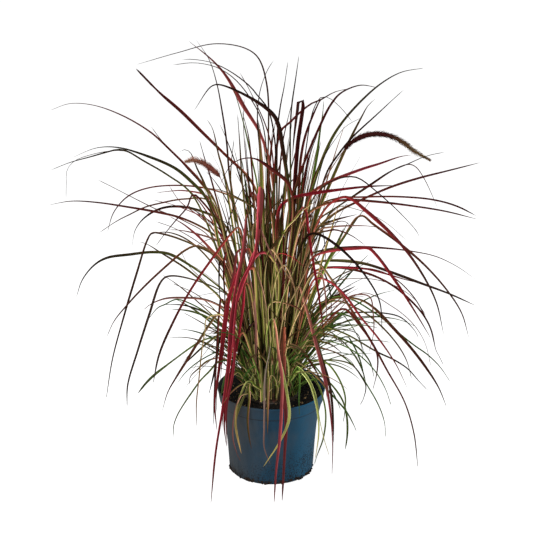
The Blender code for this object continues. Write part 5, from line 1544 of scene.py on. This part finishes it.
def seeded_route(family, rng):
    """Steps of a blade that leaves the crown steeply and bends over under its own weight."""
    azimuth = math.radians(rng.uniform(*family["azimuth"]))
    length = rng.uniform(*family["length"]) * CM
    lean = math.radians(rng.uniform(*family["lean"]))
    droop = math.radians(rng.uniform(*family["droop"]))
    reach = family["root"] * MM * math.sqrt(rng.random())
    start = azimuth + family.get("across", 0.0) + rng.gauss(0, family.get("stray", 0.6))
    place = Vector((reach * math.cos(start), reach * math.sin(start), 0.0))
    place.z = on_mound(place.x, place.y)
    kink_at = rng.uniform(0.35, 0.7) if rng.random() < family["kink"] else 2.0
    kink = math.radians(rng.uniform(40, 95))
    curl = rng.gauss(0, 0.25)
    power = rng.uniform(1.2, 2.2)
    route = []
    for share in np.arange(SEEDED_ROWS) / (SEEDED_ROWS - 1):
        route.append(tuple(place))
        tilt = lean * (0.35 + 0.65 * smooth(share / 0.25)) + droop * share ** power
        tilt += kink * smooth((share - kink_at) / 0.03)
        heading = azimuth + curl * share
        place = place + Vector((math.sin(tilt) * math.cos(heading), math.sin(tilt) * math.sin(heading),
                                math.cos(tilt))) * (length / (SEEDED_ROWS - 1))
    return np.array(route)


# ---------------------------------------------------------------- culms and plumes
def tube_mesh(form, layer, centres, radii, tones, sides=8):
    """A closed round stem in form, with a tone at each ring."""
    rows = []
    count = len(centres)
    side = None
    for index in range(count):
        ahead = Vector(centres[min(index + 1, count - 1)])
        behind = Vector(centres[max(index - 1, 0)])
        direction = (ahead - behind).normalized()
        if side is None:
            side = direction.orthogonal().normalized()
        side = (side - side.dot(direction) * direction).normalized()
        rows.append(ring_of(form, layer, Vector(centres[index]), side, direction.cross(side), radii[index],
                            tones[index], sides))
    for low, high in zip(rows, rows[1:]):
        for step in range(sides):
            following = (step + 1) % sides
            form.faces.new((low[step], low[following], high[following], high[step]))
    form.faces.new(list(reversed(rows[0])))
    form.faces.new(rows[-1])


def stem_rows(name):
    """Rows of centre and radius along a round solid, whatever the number of its sides."""
    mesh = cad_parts[name].data
    corners = {tuple(round(value / (0.01 * MM)) for value in vertex.co) for vertex in mesh.vertices}
    for size in (6, 8, 4, 10, 12):
        if len(corners) % size == 0:
            try:
                rings = node_rings(name, size)
            except RuntimeError:
                continue
            return np.array([np.append(ring.mean(axis=0),
                                       np.linalg.norm(ring - ring.mean(axis=0), axis=1).mean())
                             for ring in rings])
    raise RuntimeError(f"{name}: no even rings")


class GRASS_OT_plumes(bpy.types.Operator):
    """Build both flowering culms, and their plumes from seeds and bristles"""
    bl_idname = "grass.plumes"
    bl_label = "Culms and plumes"

    def execute(self, context):
        settings = context.scene.grass_plumes
        for side, stem_tones, tones, scale in (
                ("right", (tint(104, 100, 52), tint(110, 60, 48)),
                 (tint(56, 15, 16), tint(80, 32, 28), tint(146, 118, 76)), 1.0),
                ("left", (tint(110, 104, 60), tint(128, 84, 70)),
                 (tint(116, 60, 50), tint(158, 94, 78), tint(190, 142, 112)), 1.1)):
            self.make_culm(side, stem_tones)
            self.make_plume(side, tones, scale, settings)
        return {"FINISHED"}

    def make_culm(self, side, tones):
        name = f"culm_{side}"
        dense = spline(stem_rows(name), 90)
        form, layer = toned_form()
        shares = np.linspace(0, 1, len(dense))
        joints = (0.18, 0.52)
        radii = [row[3] * (1 + 0.35 * max(math.exp(-((share - joint) / 0.008) ** 2) for joint in joints))
                 for row, share in zip(dense, shares)]
        colors = [tuple(mix(a, b, smooth(share * 1.3 - 0.1)) for a, b in zip(*tones)) for share in shares]
        tube_mesh(form, layer, dense[:, :3], radii, colors)
        form_piece(form, name + "_stem", "culm_stem", (name,))

    def make_plume(self, side, tones, scale, settings):
        name = f"plume_{side}"
        dense = spline(stem_rows(name), 120)
        rng = random.Random(name)
        form, layer = toned_form()
        dark, middle, pale = tones
        ripe = [smooth((share - 0.45) / 0.4) for share in np.linspace(0, 1, len(dense))]
        tube_mesh(form, layer, dense[:, :3], [max(row[3] * 1.02, 0.9 * MM) for row in dense],
                  [tuple(mix(a, 0.6 * b, 0.8 * part) for a, b in zip(dark, pale)) for part in ripe], 9)
        count = int(settings.bristles * arc_lengths(dense[:, :3])[-1] / (10 * CM))
        for index in range(count):
            share = (index + rng.random()) / count
            at = share * (len(dense) - 1)
            low = min(int(at), len(dense) - 2)
            row = dense[low] + (dense[low + 1] - dense[low]) * (at - low)
            direction = Vector(dense[low + 1][:3] - dense[low][:3]).normalized()
            side_way = direction.orthogonal().normalized()
            angle = index * GOLDEN_ANGLE + rng.gauss(0, 0.3)
            out = side_way * math.cos(angle) + direction.cross(side_way) * math.sin(angle)
            centre = Vector(row[:3])
            end = smooth((1 - share) / 0.25)
            if index % 4 == 0:
                self.add_seed(form, layer, centre, direction, out, row[3], rng, dark, middle)
            else:
                reach = settings.bristle_length * scale * (0.45 + 0.55 * end) * rng.uniform(0.65, 1.25)
                faded = smooth((share - 0.45) / 0.4)
                tone = [mix(mix(a, b, rng.random() * 0.6), c, faded * rng.uniform(0.3, 0.9))
                        for a, b, c in zip(dark, middle, pale)]
                top = [mix(a, b, rng.uniform(0.1, 0.3) + 0.65 * faded) for a, b in zip(middle, pale)]
                self.add_bristle(form, layer, centre, direction, out, row[3], reach, rng, tone, top)
        form_piece(form, name + "_spikelets", "plume_bristles", (name,))

    def add_seed(self, form, layer, centre, direction, out, radius, rng, dark, middle):
        axis = (direction + out * rng.uniform(0.35, 0.6)).normalized()
        side = axis.cross(out).normalized()
        up = axis.cross(side)
        start = centre + out * radius * 0.30
        length = rng.uniform(2.6, 3.6) * MM
        tone = [mix(a, b, rng.random() * 0.6) for a, b in zip(dark, middle)]
        foot = form.verts.new(start)
        tip = form.verts.new(start + axis * length)
        foot[layer] = tip[layer] = (*tone, 1.0)
        # Two rings: share of the length, and radius in mm.
        low, high = (ring_of(form, layer, start + axis * length * share, side, up, width * MM, tone, 5)
                     for share, width in ((0.3, 0.55), (0.65, 0.45)))
        for step in range(5):
            following = (step + 1) % 5
            form.faces.new((foot, low[following], low[step]))
            form.faces.new((low[step], low[following], high[following], high[step]))
            form.faces.new((tip, high[step], high[following]))

    def add_bristle(self, form, layer, centre, direction, out, radius, length, rng, tone, top):
        start = centre + out * radius * 0.25
        heading = (direction * rng.uniform(1.0, 1.6) + out * rng.uniform(0.6, 1.15)).normalized()
        bent = (heading + direction * 0.5).normalized()
        middle = start + heading * length * 0.55
        tip_place = middle + bent * length * 0.45
        side = heading.orthogonal().normalized()
        up = heading.cross(side)
        thick = rng.uniform(0.20, 0.32) * MM
        low, high = (ring_of(form, layer, place, side, up, width, tone, 3)
                     for place, width in ((start, thick), (middle, thick * 0.75)))
        tip = form.verts.new(tip_place)
        tip[layer] = (*top, 1.0)
        form.faces.new(list(reversed(low)))
        for step in range(3):
            following = (step + 1) % 3
            form.faces.new((low[step], low[following], high[following], high[step]))
            form.faces.new((high[step], high[following], tip))


# ---------------------------------------------------------------- stage
class GRASS_OT_stage(bpy.types.Operator):
    """Set the pale floor, the soft studio lights and the camera"""
    bl_idname = "grass.stage"
    bl_label = "Stage"

    def execute(self, context):
        settings = context.scene.grass_stage
        mesh = bpy.data.meshes.new("floor")
        corners = [(x * FLOOR_REACH, y * FLOOR_REACH, 0) for x, y in ((-1, -1), (1, -1), (1, 1), (-1, 1))]
        mesh.from_pydata(corners, [], [(0, 1, 2, 3)])
        floor = bpy.data.objects.new("floor", mesh)
        context.scene.collection.objects.link(floor)
        material, tree, shader = new_material("pale_floor", 0.2, 0.9)
        grain = noise_node(tree, object_place(tree), 3.0, 2.0)
        shader.inputs["Emission Color"].default_value = (1, 1, 1, 1)
        seen = tree.nodes.new("ShaderNodeLightPath").outputs["Is Camera Ray"]
        connect(tree, shader, Base_Color=blend(tree, grain, (0.52, 0.52, 0.52), (0.56, 0.56, 0.56)),
                Emission_Strength=times(tree, seen, settings.floor_glow))
        mesh.materials.append(material)
        world = bpy.data.worlds.new("studio")
        world.use_nodes = True
        context.scene.world = world
        tree = world.node_tree
        tree.nodes.clear()
        out = tree.nodes.new("ShaderNodeOutputWorld")
        backdrop = put(tree, "ShaderNodeBackground", i_Color=(1, 1, 1, 1), i_Strength=BACKDROP)
        lighting = put(tree, "ShaderNodeBackground", i_Color=(0.98, 0.99, 1, 1), i_Strength=settings.ambient)
        seen = tree.nodes.new("ShaderNodeLightPath").outputs["Is Camera Ray"]
        joined = put(tree, "ShaderNodeMixShader", i_0=seen, i_1=lighting.outputs[0], i_2=backdrop.outputs[0])
        connect(tree, out, Surface=joined.outputs[0])
        # Round lights that look at the clump: name, place, diameter and power.
        for name, place, size, power in (("key", (-0.9, -2.6, 2.2), 1.1, settings.key_power),
                                         ("fill", (2.2, -1.6, 1.3), 1.8, settings.fill_power),
                                         ("top", (0.3, 0.6, 2.6), 2.6, settings.top_power)):
            light = bpy.data.lights.new(name, "AREA")
            light.shape = "DISK"
            light.size = size
            light.energy = power
            lamp = bpy.data.objects.new(name, light)
            lamp.location = place
            lamp.rotation_euler = (Vector((0, 0, 0.4)) - Vector(place)).to_track_quat("-Z", "Y").to_euler()
            context.scene.collection.objects.link(lamp)
        camera = bpy.data.cameras.new("camera")
        camera.lens = settings.lens
        camera.sensor_width = 36
        viewer = bpy.data.objects.new("camera", camera)
        viewer.location = VIEW_POINT
        viewer.rotation_euler = (math.radians(90 - VIEW_PITCH), 0, 0)
        context.scene.collection.objects.link(viewer)
        context.scene.camera = viewer
        context.scene.view_settings.view_transform = "Standard"
        return {"FINISHED"}


class GRASS_PT_panel(bpy.types.Panel):
    """Settings and builders of the grass"""
    bl_label = "Potted Fountain Grass"
    bl_idname = "GRASS_PT_panel"
    bl_space_type = "VIEW_3D"
    bl_region_type = "UI"
    bl_category = "Grass"

    def draw(self, context):
        for label, _, key, operators in SECTIONS:
            box = self.layout.box()
            box.label(text=label)
            settings = getattr(context.scene, key)
            for name in settings.bl_rna.properties.keys():
                if name not in ("rna_type", "name"):
                    box.prop(settings, name)
            for operator in operators:
                box.operator(operator.bl_idname)


SECTIONS = (
    ("Pot", PotSettings, "grass_pot", (GRASS_OT_pot,)),
    ("Soil", SoilSettings, "grass_soil", (GRASS_OT_soil,)),
    ("Blades", BladeSettings, "grass_blades", (GRASS_OT_crown, GRASS_OT_blades, GRASS_OT_fine_blades)),
    ("Plumes", PlumeSettings, "grass_plumes", (GRASS_OT_plumes,)),
    ("Stage", StageSettings, "grass_stage", (GRASS_OT_stage,)),
)


def register():
    for _, settings, key, operators in SECTIONS:
        bpy.utils.register_class(settings)
        setattr(bpy.types.Scene, key, PointerProperty(type=settings))
        for operator in operators:
            bpy.utils.register_class(operator)
    bpy.utils.register_class(GRASS_PT_panel)


def unregister():
    bpy.utils.unregister_class(GRASS_PT_panel)
    for _, settings, key, operators in reversed(SECTIONS):
        for operator in operators:
            bpy.utils.unregister_class(operator)
        delattr(bpy.types.Scene, key)
        bpy.utils.unregister_class(settings)


def main():
    register()
    build_materials(bpy.context.scene)
    bpy.ops.grass.pot()
    bpy.ops.grass.soil()
    bpy.ops.grass.crown()
    bpy.ops.grass.blades()
    bpy.ops.grass.fine_blades()
    bpy.ops.grass.plumes()
    bpy.ops.grass.stage()


if __name__ == "__main__":
    main()
